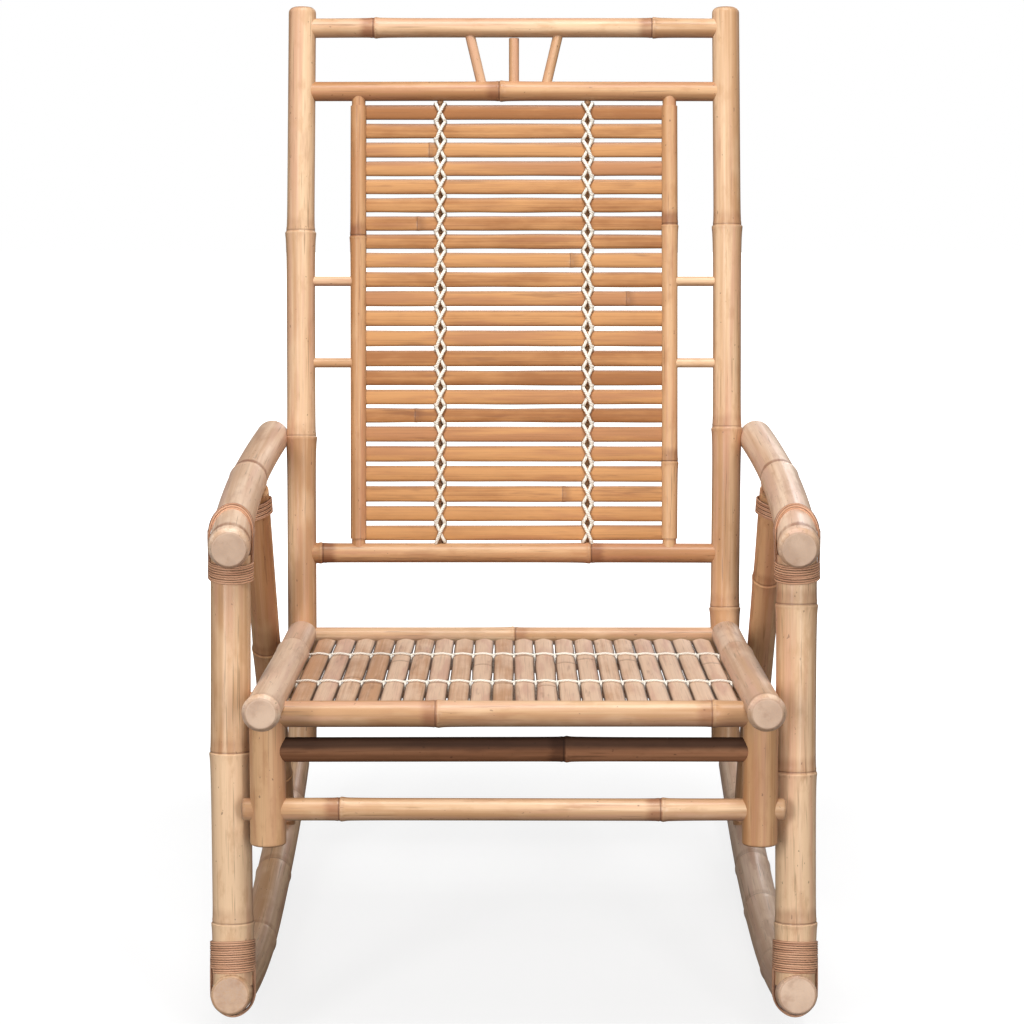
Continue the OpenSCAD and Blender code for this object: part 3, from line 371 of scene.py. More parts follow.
class Graph:
    """A node tree, with one way to add any node."""

    def __init__(self, owner: bpy.types.Material | bpy.types.World) -> None:
        """Empties the tree of a new material or surround."""
        owner.use_nodes = True
        self.owner, self.tree = owner, owner.node_tree
        self.tree.nodes.clear()

    def node(self, kind: str, sockets: dict[str | int, object] | None = None,
             output: str | int = 0, **settings: object) -> "Wire":
        """Adds a node.

        Args:
            kind: the node's type, without its ShaderNode prefix.
            sockets: for each input, a wire or a plain value.
            output: which of its outputs is wanted.
            settings: its own settings, set first.

        Returns:
            That output.
        """
        made = self.tree.nodes.new("ShaderNode" + kind)
        for key, value in settings.items():
            setattr(made, key, value)
        for key, value in (sockets or {}).items():
            if isinstance(value, Wire):
                self.tree.links.new(value.socket, made.inputs[key])
            else:
                made.inputs[key].default_value = value
        return Wire(self, made.outputs[output] if len(made.outputs) else None)

    def mark(self, name: str, output: str = "Fac") -> "Wire":
        """What the mesh carries for each point: a number, or a vector where output is Vector."""
        return self.node("Attribute", output=output, attribute_name=name)

    def noise(self, at: "Wire", stretch: Colour, detail: float = 3, rough: float = 0.6) -> "Wire":
        """Noise from 0 to 1 about 0.5.

        Args:
            at: the place on the piece.
            stretch: how many waves a metre along each axis.
            detail: how many finer layers it has.
            rough: how strong the finer layers are.

        Returns:
            The noise.
        """
        scaled = self.node("VectorMath", {0: at, 1: stretch}, operation="MULTIPLY")
        return self.node("TexNoise", {"Vector": scaled, "Scale": 1.0, "Detail": detail,
                                      "Roughness": rough}, "Fac")

    def mix(self, share: "Wire | float", a: "Wire | Colour", b: "Wire | Colour") -> "Wire":
        """Blends two colours: a where share is 0, b where it is 1."""
        first, second = (c if isinstance(c, Wire) else (*c, 1) for c in (a, b))
        return self.node("Mix", {0: share, 6: first, 7: second}, 2, data_type="RGBA")

    def coats(self, base: "Wire | Colour", *coats: tuple["Wire", "Wire | Colour"]) -> "Wire":
        """Lays colours over a base one after the other, each given as (share, colour)."""
        for share, colour in coats:
            base = self.mix(share, base, colour)
        return base

    def end(self, kind: str, surface: "Wire") -> None:
        """Makes a surface the result of the tree of a Material or World."""
        self.node("Output" + kind, {0: surface})

    def finish(self, colour: "Wire", rough: "Wire", height: "Wire", depth: float,
               **more: "Wire | float") -> bpy.types.Material:
        """Ends a material in one Principled surface.

        Args:
            colour: its colour.
            rough: its roughness.
            height: its relief, from 0 to 1.
            depth: what the relief stands for, in metres.
            more: its other inputs, with underscores for spaces.

        Returns:
            The material.
        """
        normal = self.node("Bump", {"Strength": 1.0, "Distance": depth, "Height": height})
        others = {key.replace("_", " "): value for key, value in more.items()}
        self.end("Material", self.node("BsdfPrincipled", {
            "Base Color": colour, "Roughness": rough, "Normal": normal, **others}))
        return self.owner


def maths(operation: str, swapped: bool = False) -> Callable[..., "Wire"]:
    """Makes a method that adds one Math node.

    Args:
        operation: what the node does.
        swapped: whether the wire comes after the other value.

    Returns:
        The method, which takes a wire and the values that go with it.
    """
    def method(wire: "Wire", *others: "Wire | float") -> "Wire":
        """The result of the operation."""
        values = (*others, wire) if swapped else (wire, *others)
        return wire.graph.node("Math", dict(enumerate(values)), operation=operation)

    return method


@dataclass(eq=False)
class Wire:
    """A node's output that can be used in arithmetic.

    size is its distance from 0, least and most are the smaller and the larger of two values, sine
    takes radians, and a.angle_from(b) is the angle of the point (b, a).
    """

    graph: Graph
    socket: bpy.types.NodeSocket

    __add__ = __radd__ = maths("ADD")
    __mul__ = __rmul__ = maths("MULTIPLY")
    __sub__, __rsub__ = maths("SUBTRACT"), maths("SUBTRACT", swapped=True)
    __pow__, size, sine = maths("POWER"), maths("ABSOLUTE"), maths("SINE")
    least, most, angle_from = maths("MINIMUM"), maths("MAXIMUM"), maths("ARCTAN2")

    def part(self, axis: int) -> "Wire":
        """One axis of a vector."""
        return self.graph.node("SeparateXYZ", {0: self}, axis)

    def ramp(self, low: float, high: float, start: float = 0.0, end: float = 1.0) -> "Wire":
        """A smooth step: start below low, end above high."""
        sockets = {"Value": self, "From Min": low, "From Max": high, "To Min": start, "To Max": end}
        return self.graph.node("MapRange", sockets, interpolation_type="SMOOTHSTEP")

    def hump(self, centre: float, half_width: float) -> "Wire":
        """1 at centre, falling smoothly to 0 at half_width from it."""
        return (self - centre).size().ramp(0, half_width, 1, 0)


# --------------------------------------------------------------------------- finishes


@dataclass(frozen=True)
class Finish:
    """A finish, with the name of its material."""

    name: str

    def start(self) -> tuple[Graph, Wire]:
        """An empty material, and the place on the piece that its patterns go by."""
        g = Graph(bpy.data.materials.new(self.name))
        return g, g.mark("grain", "Vector")


@dataclass(frozen=True)
class CulmFinish(Finish):
    """Sanded and varnished bamboo culm: pale skin, browner nodes, fine fibres along it.

    painted_top_shade paints shade on its upper side, for pieces that lie in shade under the seat,
    and painted_underside_shade paints shade on its lower side, as light falls from above.
    """

    pale: Colour
    deep: Colour
    blush: Colour
    stain: Colour
    end_grain: Colour
    gloss: float = 0.18
    painted_top_shade: float = 0
    painted_underside_shade: float = 0.5
    dullness: float = 0.38

    def material(self) -> bpy.types.Material:
        """The finish as a material that reads the culm's marks."""
        g, grain = self.start()
        past, ahead, cap, tone, stain = map(g.mark, ("past", "ahead", "cap", "tone", "stain"))
        fibres = g.noise(grain, (900, 900, 12))
        streaks = g.noise(grain, (280, 280, 3.5), 4, 0.65)
        bands = g.noise(grain, (80, 80, 2.0), 3, 0.55)
        clouds = g.noise(grain, (26, 26, 9), 3, 0.55)
        wander = (streaks - 0.5) * 0.012
        bloom = (past + wander).ramp(0.010, 0.020, 1, 0).most((ahead + wander).ramp(0.0, 0.004, 0.6, 0))
        scar = past.hump(0.0018, 0.0013) * (0.35 + 0.6 * clouds) * (0.55 + 0.6 * stain).least(1.0)
        skin = g.coats(
            self.pale,
            ((streaks * 0.55 + bands * 1.55 + tone * 0.8 - 0.62).ramp(0.16, 0.70), self.deep),
            (g.noise(grain, (95, 95, 4.0)).ramp(0.44, 0.66) * 0.7, self.blush),
            (clouds.ramp(0.54, 0.7) * 0.5, self.pale),
            (g.noise(grain, (85, 85, 32), 4).ramp(0.5, 0.68) * 0.4, self.deep),
            (g.noise(grain, (44, 44, 7), 4, 0.65).ramp(0.56, 0.70) * 0.34, times(self.stain, 1.1)),
            ((bloom * stain * (bands * 2.4 - 0.35).most(0.3)).least(0.9), self.stain),
            (scar, times(self.stain, 0.3)),
            # painted highlight: a paler line on each node's ridge
            (ahead.hump(0.0010, 0.0022) * 0.25, self.pale),
            (fibres.ramp(0.5, 0.78) * 0.2, times(self.deep, 0.55)),
            (g.noise(grain, (420, 420, 12), 2, 0.5).ramp(0.63, 0.71) * 0.5, times(self.deep, 0.45)),
            (g.noise(grain, (300, 300, 190), 1, 0.4).ramp(0.74, 0.78) * 0.5, times(self.stain, 0.35)))
        wood = g.coats(
            self.end_grain,
            (g.noise(grain, (620, 620, 60)).ramp(0.42, 0.7) * 0.4, self.deep),
            (clouds.ramp(0.35, 0.7) * 0.4, self.pale),
            (g.noise(grain, (70, 50, 40), 4, 0.65).ramp(0.48, 0.75) * 0.35, times(self.stain, 0.9)))
        above = g.node("NewGeometry", output="Normal").part(2)
        colour = g.coats(
            skin, (cap, wood),
            (cap.hump(0.45, 0.4) * 0.35, times(self.stain, 0.6)),
            # painted shade: upper side darkened by painted_top_shade, lower side by painted_underside_shade
            (above.ramp(-0.1, 0.6) * self.painted_top_shade, times(self.stain, 0.2)),
            (above.ramp(-0.95, -0.1, self.painted_underside_shade, 0), times(self.stain, 0.45)))
        rough = self.dullness + 0.22 * streaks + 0.14 * cap + 0.10 * bloom
        height = fibres * 0.3 + streaks * 0.35 + (1 - scar) * 0.5
        return g.finish(colour, rough, height, 0.00025, Coat_Weight=self.gloss * (1 - 0.85 * cap),
                        Coat_Roughness=0.2, Specular_IOR_Level=0.15 + self.gloss)


@dataclass(frozen=True)
class SlatFinish(Finish):
    """Split bamboo slat: a polished skin with streaks and a browner node, with painted shade towards its long
    edges and on its side walls, where the gaps lie in shade.
    """

    pale: Colour
    deep: Colour
    blush: Colour
    stain: Colour

    def material(self) -> bpy.types.Material:
        """The finish as a material that reads the slat's marks."""
        g, grain = self.start()
        node, edge, tone, painted_gap_shade = map(g.mark, ("node_gap", "edge", "tone", "painted_gap_shade"))
        fibres = g.noise(grain, (1100, 1100, 9))
        streaks = g.noise(grain, (280, 280, 4.0), 4, 0.65)
        clouds = g.noise(grain, (34, 34, 11), 4)
        near = node + (streaks - 0.5) * 0.006
        body = g.coats(
            self.pale,
            ((streaks * 0.9 + clouds * 1.2 + tone * 1.1 - 0.92).ramp(0.1, 0.75), self.deep),
            ((g.noise(grain, (60, 60, 6)) - tone * 0.3).ramp(0.5, 0.72) * 0.6, self.blush),
            (g.noise(grain, (90, 90, 9)).ramp(0.60, 0.72) * 0.4, self.stain),
            (near.ramp(0.001, 0.012, 1, 0) * near.ramp(-0.003, 0.001) * 0.4, self.stain),
            (node.hump(-0.0012, 0.0012) * 0.55, times(self.stain, 0.5)),
            # painted shade: darker towards both long edges, beside the gaps between slats
            ((edge + (streaks - 0.5) * 0.4).ramp(0.6, 0.98) * 0.55, times(self.deep, 0.5)),
            (fibres.ramp(0.48, 0.76) * 0.4, times(self.deep, 0.5)),
            # painted shade: the side walls almost black-brown, so the gaps between slats look shaded
            (painted_gap_shade.ramp(0.0, 0.6) * 0.92, times(self.stain, 0.25)))
        return g.finish(body, 0.36 + 0.18 * streaks, fibres * 0.4 + streaks * 0.4, 0.00018,
                        Coat_Weight=0.16 - 0.08 * edge, Coat_Roughness=0.25, Specular_IOR_Level=0.4)


@dataclass(frozen=True)
class CaneFinish(Finish):
    """Split cane for lashings: reddish brown strands with a dull shine, and painted shade along each strand's
    edges, where strands meet.
    """

    light: Colour
    dark: Colour

    def material(self) -> bpy.types.Material:
        """The finish as a material that reads the strand's marks."""
        g, grain = self.start()
        fibres, patches = g.noise(grain, (1500, 1500, 30)), g.noise(grain, (90, 90, 26))
        body = g.coats(
            self.light,
            ((fibres * 0.4 + patches * 0.8 + g.mark("tone") * 0.5 - 0.4).ramp(0.1, 0.8), self.dark),
            # painted shade: darker along each strand's edges, in the crease between strands
            (g.mark("edge").ramp(0.6, 1.0) * 0.8, times(self.dark, 0.28)))
        return g.finish(body, 0.48 + 0.15 * fibres, fibres, 0.00025, Coat_Weight=0.1, Coat_Roughness=0.35)


@dataclass(frozen=True)
class CordFinish(Finish):
    """Twisted cream lacing cord. lay is the length of one turn of its strands, in metres."""

    cream: Colour
    shade: Colour
    lay: float = 3.2 * MM

    def material(self) -> bpy.types.Material:
        """The finish as a material that reads the cord's marks."""
        g, grain = self.start()
        turn = grain.part(1).angle_from(grain.part(0))
        twist = (turn * 3 + grain.part(2) * (2 * math.pi / self.lay)).sine() * 0.5 + 0.5
        fluff = g.noise(grain, (900, 900, 900))
        # painted shade: darker in the grooves of the twist
        body = g.mix((1 - twist).ramp(0.4, 1.0) * 0.6 + fluff * 0.15, self.cream, self.shade)
        return g.finish(body, 0.7 + 0.1 * fluff, twist * 0.8 + fluff * 0.2, 0.0003)


class Shade(Enum):
    """The culms' finishes."""

    PALE = CulmFinish("pale_culm", srgb(230, 194, 156), srgb(194, 148, 106), srgb(208, 158, 128),
                      srgb(154, 100, 70), srgb(190, 160, 138))
    DARK = CulmFinish("darker_culm", srgb(214, 170, 126), srgb(182, 130, 86), srgb(192, 136, 102),
                      srgb(140, 88, 58), srgb(192, 160, 136))
    # A brown culm finish darkened as painted shade, for the lower front rail that lies in the seat's shadow.
    SHADED_UNDER_SEAT = CulmFinish("shaded_under_seat_culm", srgb(152, 106, 76), srgb(108, 70, 46), srgb(128, 84, 58),
                         srgb(70, 42, 28), srgb(120, 88, 66), gloss=0, painted_top_shade=0.85, painted_underside_shade=0, dullness=0.6)
    # A paler culm finish: worn skin on the armrests and side rails, and painted light on the right rocker.
    WORN_AND_LIT = CulmFinish("worn_and_lit_culm", srgb(236, 208, 182), srgb(206, 168, 136), srgb(214, 174, 152),
                      srgb(154, 108, 82), srgb(190, 160, 138), gloss=0.22)


class Finishes:
    """The chair's materials, each made once."""

    def __init__(self) -> None:
        """Makes every material of the chair."""
        self.culms = {shade: shade.value.material() for shade in Shade}
        self.back_slats = SlatFinish("back_slat", srgb(202, 146, 91), srgb(160, 103, 54),
                                     srgb(168, 111, 75), srgb(116, 70, 42)).material()
        self.seat_slats = SlatFinish("seat_slat", srgb(232, 200, 172), srgb(198, 152, 116),
                                     srgb(204, 156, 136), srgb(138, 92, 66)).material()
        self.cane = CaneFinish("cane", srgb(210, 160, 126), srgb(152, 98, 70)).material()
        self.cord = CordFinish("lacing_cord", srgb(250, 246, 236), srgb(206, 194, 172)).material()


# --------------------------------------------------------------------------- culms


class Axis:
    """A culm's middle line, with the two directions square to it."""

    length: float

    def at(self, s: Vec) -> tuple[Vec, Vec, Vec]:
        """The line's points and cross directions at distances s from its foot."""
        raise NotImplementedError


@dataclass
class StraightAxis(Axis):
    """A straight middle line from foot to head."""

    foot: Vec
    head: Vec

    @property
    def length(self) -> float:
        """Distance from foot to head."""
        return float(np.linalg.norm(self.head - self.foot))

    def at(self, s: Vec) -> tuple[Vec, Vec, Vec]:
        """The line's points and cross directions at distances s from its foot."""
        along = unit(self.head - self.foot)
        across = unit(np.cross(along, Y if abs(along[1]) < 0.9 else X))
        ones = np.ones((len(s), 1))
        return self.foot + s[:, None] * along, ones * across, ones * np.cross(along, across)


@dataclass
class ArcAxis(Axis):
    """A middle line bent to an arc about centre: out is angle 0 and ahead is angle 90 degrees."""

    centre: Vec
    out: Vec
    ahead: Vec
    bend: float
    start: float
    end: float

    @property
    def length(self) -> float:
        """Length of the arc."""
        return self.bend * (self.end - self.start)

    def at(self, s: Vec) -> tuple[Vec, Vec, Vec]:
        """The line's points and cross directions at distances s from its foot."""
        angle = (self.start + s / self.bend)[:, None]
        out = np.cos(angle) * self.out + np.sin(angle) * self.ahead
        return self.centre + self.bend * out, out, np.ones((len(s), 1)) * np.cross(self.ahead, self.out)


@dataclass
class RockerAxis(Axis):
    """The right rocker's middle line: two arcs that meet at its lowest point."""

    @cached_property
    def front(self) -> float:
        """Length in front of the lowest point."""
        bend = S.rocker_front_bend
        return bend * math.asin((S.rocker_low_setback - S.rocker_front_setback - S.edge) / bend) + S.edge

    @property
    def length(self) -> float:
        """Length of both arcs."""
        bend, reach = S.rocker_rear_bend, S.depth - S.edge - S.rocker_low_setback
        return self.front + bend * math.asin(reach / (bend + S.rocker_r - S.edge)) + S.edge

    def at(self, s: Vec) -> tuple[Vec, Vec, Vec]:
        """The line's points and cross directions at distances s from its foot."""
        run = (s - self.front)[:, None]
        bend = np.where(run < 0, S.rocker_front_bend, S.rocker_rear_bend)
        out = np.sin(run / bend) * Y - np.cos(run / bend) * Z
        return S.rocker_low + bend * (Z + out), out, np.ones((len(s), 1)) * -X


@dataclass(frozen=True)
class Groove:
    """A slot along one side of a culm, between two distances from its foot."""

    half_width: float
    depth: float
    start: float
    end: float

    def outline(self, r: float, s: Vec, sides: int) -> Vec:
        """The culm's cross-section at each place s: slotted inside the groove, round outside.

        Args:
            r: the culm's radius.
            s: places along the culm.
            sides: how many points the round part has.

        Returns:
            One outline for each place.
        """
        corner = math.asin(self.half_width / r)
        turn = np.linspace(corner, 2 * math.pi - corner, sides)
        round_part = np.stack([np.cos(turn), np.sin(turn)], axis=1)
        slot, bridge = (np.array([[x, -y], [x, y]]) for x, y in (
            (1 - self.depth / r, self.half_width / r), (math.cos(corner / 3), math.sin(corner / 3))))
        inside = ((s > self.start) & (s < self.end))[:, None, None]
        return np.concatenate([np.broadcast_to(round_part, (len(s), sides, 2)),
                               np.where(inside, slot, bridge)], axis=1)


class End(Enum):
    """How a culm ends."""

    SEATED = "inside or against another piece"
    CUT = "cut off, with its edge rounded over"


def cut_end(r: float, rounding: float) -> Vec:
    """The rows of points that close a cut end, from its middle outward.

    Args:
        r: the culm's radius behind the rounded edge.
        rounding: radius of that edge.

    Returns:
        For each row its depth behind the end, its radius, and 1 on the cut face down to 0 behind it.
    """
    turn = np.radians(np.arange(90, -1, -15))
    disc = np.array([0.03, 0.3, 0.55, 0.78, 0.93])
    return np.array([np.concatenate([-0.3 * (1 - disc), rounding * (1 - np.sin(turn))]),
                     np.concatenate([disc * (r - rounding), r - rounding * (1 - np.cos(turn))]),
                     np.concatenate([np.ones(len(disc)), np.linspace(1, 0, len(turn)) ** 2])])


@dataclass
class Culm:
    """One length of bamboo, with its nodes, swellings and slight crooks.

    nodes are places as shares of the length, radii has one radius for each internode, sway moves
    the axis sideways at each node and at the head, as (across, up) pairs, and stain is how brown
    the skin is at the nodes. easing is how softly the radius changes at a node. Where back is true
    the culm grew toward its foot. A knob is a cut foot end that is narrower, by that share of the
    radius, and a tenon is how much of each end is narrower all along. paleness makes the
    skin lighter, as painted light, or darker below 0, as painted shade, for how much light the piece gets.
    """

    name: str
    axis: Axis
    radii: Sequence[float]
    nodes: Sequence[float] = ()
    sway: Sequence[tuple[float, float]] = ()
    foot: End = End.SEATED
    head: End = End.SEATED
    rounding: float = 5
    head_rounding: float | None = None
    ridge: float = 0.85
    easing: float = 1.5
    sides: int = 40
    flare: float = 0.5
    stain: float = 0.5
    back: bool = False
    knob: float = 0
    tenon: float = 0
    groove: Groove | None = None
    paleness: float = 0

    @cached_property
    def places(self) -> Vec:
        """Distances of the nodes from the foot."""
        return np.array(self.nodes, float) * self.axis.length

    def _stations(self) -> Vec:
        """Places along the culm where its surface is drawn, closer together at the nodes."""
        length = self.axis.length
        near = np.array([-14, -10, -7, -5, -4, -3.2, -2.4, -1.6, -0.8, 0, 0.8, 1.6, 2.6, 4, 6, 9, 13])
        marks = [np.arange(0, length, 9.0), [length], self.rounding + np.array([0.1, 1, 2, 3, 4, 6])]
        marks += [node + near for node in self.places]
        if self.tenon:
            marks += [edge + np.array([-0.3, 0, 0.3]) for edge in (self.tenon, length - self.tenon)]
        if self.groove:
            marks += [edge + np.array([-0.1, 0.1]) for edge in (self.groove.start, self.groove.end)]
        places = np.unique(np.round(np.concatenate(marks), 2))
        return places[(places >= 0) & (places <= length)]

    def _radius(self, s: Vec) -> Vec:
        """The culm's radius at places s: its internodes, flares, ridges and scars."""
        r = np.full(len(s), float(self.radii[0]))
        for node, before, after in zip(self.places, self.radii, self.radii[1:]):
            r = r + (after - before) / (1 + np.exp(-(s - node) / self.easing))
        for node in self.places:
            d = (s - node) * (-1 if self.back else 1)
            r = r + self.flare * np.where(d < 0, 1.3, 0.7) * np.exp(-np.abs(d) / np.where(d < 0, 17, 9))
            r = r + 0.6 * self.ridge * np.exp(-((d + 1.2) / 3.2) ** 2) - 0.3 * np.exp(-((d - 1.8) / 0.9) ** 2)
            r = r + 0.2 * np.exp(-((d - 3.6) / 1.3) ** 2)
        r = r * (1 - self.knob * np.exp(-((s - self.rounding) / 2.4) ** 2) * (s >= self.rounding))
        return r * (1 - 0.15 * ((s < self.tenon) | (s > self.axis.length - self.tenon)))

    def _drift(self, s: Vec) -> Vec:
        """Sideways offsets of the axis at places s, from the sway at the nodes."""
        if not len(self.sway):
            return np.zeros((len(s), 2))
        knots = np.concatenate([[0], self.places, [self.axis.length]])
        values = np.vstack([[0, 0], np.array(self.sway, float), [0, 0]])[: len(knots)]
        return np.stack([np.interp(s, knots, values[:, k]) for k in range(2)], axis=1)

    def _marks(self, s: Vec, cap: Vec, rng: np.random.Generator) -> dict[str, Vec]:
        """What the finish reads, at places s.

        Args:
            s: places along the culm.
            cap: for each, how far it is on a cut face.
            rng: the source of the internodes' and nodes' own tones.

        Returns:
            For each mark, one number for each place.
        """
        count, internode = len(self.nodes), np.searchsorted(self.places, s)
        stops = np.concatenate([[-FAR], self.places, [self.axis.length + FAR]])
        tones = rng.uniform(-0.25, 0.25, count + 1) - self.paleness
        stains = np.concatenate([[0.0], self.stain * rng.uniform(0.7, 1.3, count), [0.0]])
        past, ahead = s - stops[internode], stops[internode + 1] - s
        if self.back:
            past, ahead, stains, internode = ahead, past, stains[::-1], count - internode
        stain = np.where(past < ahead, stains[internode], stains[internode + 1])
        return {"past": past * MM, "ahead": ahead * MM, "cap": cap, "tone": tones[internode], "stain": stain}

    def shape(self, seed: int) -> Shape:
        """The culm's closed surface with its marks.

        Args:
            seed: a number that sets this culm's own grain.

        Returns:
            The surface.
        """
        rng = np.random.default_rng(seed)
        s, length = self._stations(), self.axis.length
        rows = np.stack([s, self._radius(s), np.zeros(len(s))])
        if self.foot is End.CUT:
            end = cut_end(rows[1, 0] * (1 - self.knob), self.rounding)
            rows = np.hstack([end, rows[:, rows[0] > self.rounding]])
        if self.head is End.CUT:
            rounding = self.head_rounding or self.rounding
            end = cut_end(rows[1, -1], rounding)[:, ::-1]
            end[0] = length - end[0]
            rows = np.hstack([rows[:, rows[0] < length - rounding], end])
        s, r, cap = rows
        centres, across, up = self.axis.at(s)
        drift = self._drift(s)
        centres = centres + drift[:, :1] * across + drift[:, 1:] * up
        outline = (self.groove.outline(float(self.radii[0]), s, self.sides) if self.groove
                   else round_outline(self.sides))
        made, flat = swept(centres, across, up, outline, np.stack([r, r], 1))
        sides = outline.shape[-2]
        around = np.arctan2(flat[:, 1], flat[:, 0])
        wide = 1 + 0.010 * np.cos(2 * around + rng.uniform(0, 6.28)) * (1 - np.repeat(cap, sides))
        middle = np.repeat(centres, sides, axis=0)
        made.points = middle + (made.points - middle) * wide[:, None]
        made.marks = {key: np.repeat(values, sides) for key, values in self._marks(s, cap, rng).items()}
        made.marks["grain"] = np.column_stack([flat, np.repeat(s, sides)]) * MM + rng.uniform(0, 5, 3)
        return made


def tapered(r: float, step: float, nodes: Sequence[float]) -> list[float]:
    """The radii of a culm that gets narrower from its foot, by a step at each node."""
    return [r - step * i for i in range(len(nodes) + 1)]


# --------------------------------------------------------------------------- sub-assemblies


@dataclass
class SubAssembly:
    """A group of pieces that share the chair's finishes."""

    finishes: Finishes
    seed: int = 1

    def culm(self, culm: Culm, shade: Shade = Shade.PALE, side: Side | None = None,
             slot: str | None = None) -> None:
        """Makes one culm and puts it in place of its node.

        Args:
            culm: the culm, made for the right side where a side is given.
            shade: which of the culms' finishes it has.
            side: the side it goes to, if it is one of a pair.
            slot: the record's slot, where it isn't the shade's own; it is not used.
        """
        name = culm.name if side is None else f"{culm.name}_{side.word}"
        self.seed += 1
        shape = culm.shape(self.seed * 17).put(side)
        slot = slot or ("pale_culms" if shade is Shade.PALE else "darker_culms")
        put_together("bamboo_" + name, [shape], self.finishes.culms[shade], [name])


@dataclass
class Rockers(SubAssembly):
    """The two curved rockers."""

    def build(self) -> None:
        """Makes both rockers."""
        # painted light: the right rocker takes the paler finish for the light on its inner side
        pairs = ((Side.LEFT, Shade.PALE, (0.354, 0.616, 0.865), [(0.5, 0.3), (-0.5, -0.4), (0.3, 0.2)]),
                 (Side.RIGHT, Shade.WORN_AND_LIT, (0.224, 0.480, 0.639, 0.844),
                  [(0.4, 0.3), (0, 0.3), (-0.4, 0.2), (0.3, -0.3)]))
        for side, shade, nodes, sway in pairs:
            self.culm(Culm("rocker", RockerAxis(), tapered(S.rocker_r, 0.15, nodes), nodes, sway,
                           foot=End.CUT, head=End.CUT, rounding=3.2, stain=0.3, knob=0.04, ridge=0.7),
                      shade, side, "pale_culms")


@dataclass
class Legs(SubAssembly):
    """The front legs, the raked rear legs and the short stub legs."""

    saddle: float = 9
    stub_spare: float = 6
    stub_sunk: float = 10

    def _leg(self, name: str, ends: tuple[Vec, Vec], r: float, nodes: Sequence[float], side: Side,
             shade: Shade, sway: Sequence[tuple[float, float]], paleness: float = 0) -> None:
        """One leg between the axes of rocker and armrest."""
        foot, head = ends
        along = unit(head - foot)
        axis = StraightAxis(foot + along * self.saddle, head - along * self.saddle)
        self.culm(Culm(name, axis, tapered(r, 0.2, nodes), nodes, sway, flare=0.9, ridge=0.45,
                       stain=0.4, paleness=paleness), shade, side)

    def build(self) -> None:
        """Makes the six legs."""
        front = ((Side.LEFT, (0.142, 0.532), [(0.4, 0.2), (-0.9, 0.8)]),
                 (Side.RIGHT, (0.142, 0.488, 0.87), [(-0.3, 0.2), (0.7, 0.6), (0.4, -0.3)]))
        for side, nodes, sway in front:
            # painted light: the front legs' skin is made paler for the light on them
            self._leg("front_leg", (S.front_foot, S.front_head), S.front_leg_r, nodes, side, Shade.PALE,
                      sway, 0.22)
        for side, nodes in ((Side.LEFT, (0.171, 0.555)), (Side.RIGHT, (0.267, 0.755))):
            self._leg("rear_leg", (S.rear_foot, S.rear_head), S.rear_leg_r, nodes, side, Shade.DARK,
                      [(0.6, 0.6), (-0.6, 0.4)])
        axis = StraightAxis(*(S.seat((S.rail_x, S.front_setback, z))
                              for z in (-S.stub_drop - self.stub_spare, -self.stub_sunk)))
        # painted light: the stub legs' skin is made paler for the light on them
        for side in Side:
            self.culm(Culm("stub_leg", axis, [S.stub_r], foot=End.CUT, rounding=3, paleness=0.2),
                      Shade.DARK, side)


@dataclass
class Armrests(SubAssembly):
    """The two bowed armrests."""

    front_r: float = 20.2
    middle_r: float = 20.6

    @cached_property
    def chord(self) -> Vec:
        """From the front leg's axis to the back post, along the right armrest."""
        return S.arm_rear - S.front_head

    @cached_property
    def half_chord(self) -> float:
        """Half of the chord's length."""
        return float(np.linalg.norm(self.chord)) / 2

    @cached_property
    def bend(self) -> float:
        """Radius of the armrests' bow."""
        return (self.half_chord**2 + S.arm_bow**2) / (2 * S.arm_bow)

    @cached_property
    def out(self) -> Vec:
        """Direction in which the right armrest bows."""
        along = unit(self.chord)
        return unit(X - along[0] * along)

    @cached_property
    def half_angle(self) -> float:
        """Half of the angle between the front leg and the post, on the bow."""
        return math.asin(self.half_chord / self.bend)

    @cached_property
    def front_along(self) -> Vec:
        """Direction of the right armrest over its front leg."""
        return math.cos(self.half_angle) * unit(self.chord) + math.sin(self.half_angle) * self.out

    def build(self) -> None:
        """Makes both armrests."""
        centre = (S.front_head + S.arm_rear) / 2 - (self.bend - S.arm_bow) * self.out
        axis = ArcAxis(centre, self.out, unit(self.chord), self.bend,
                       -self.half_angle - S.arm_overhang / self.bend,
                       self.half_angle + S.arm_tail / self.bend)
        for side, nodes in ((Side.LEFT, (0.0264, 0.558)), (Side.RIGHT, (0.0283, 0.564))):
            self.culm(Culm("armrest", axis, [self.front_r, self.middle_r, S.arm_rear_r], nodes,
                           [(0, 0), (0.6, -1.2)], foot=End.CUT, head=End.CUT, rounding=2.6,
                           head_rounding=8, ridge=0.8, flare=0.45, easing=26, stain=0.9, knob=0.1),
                      Shade.WORN_AND_LIT, side)


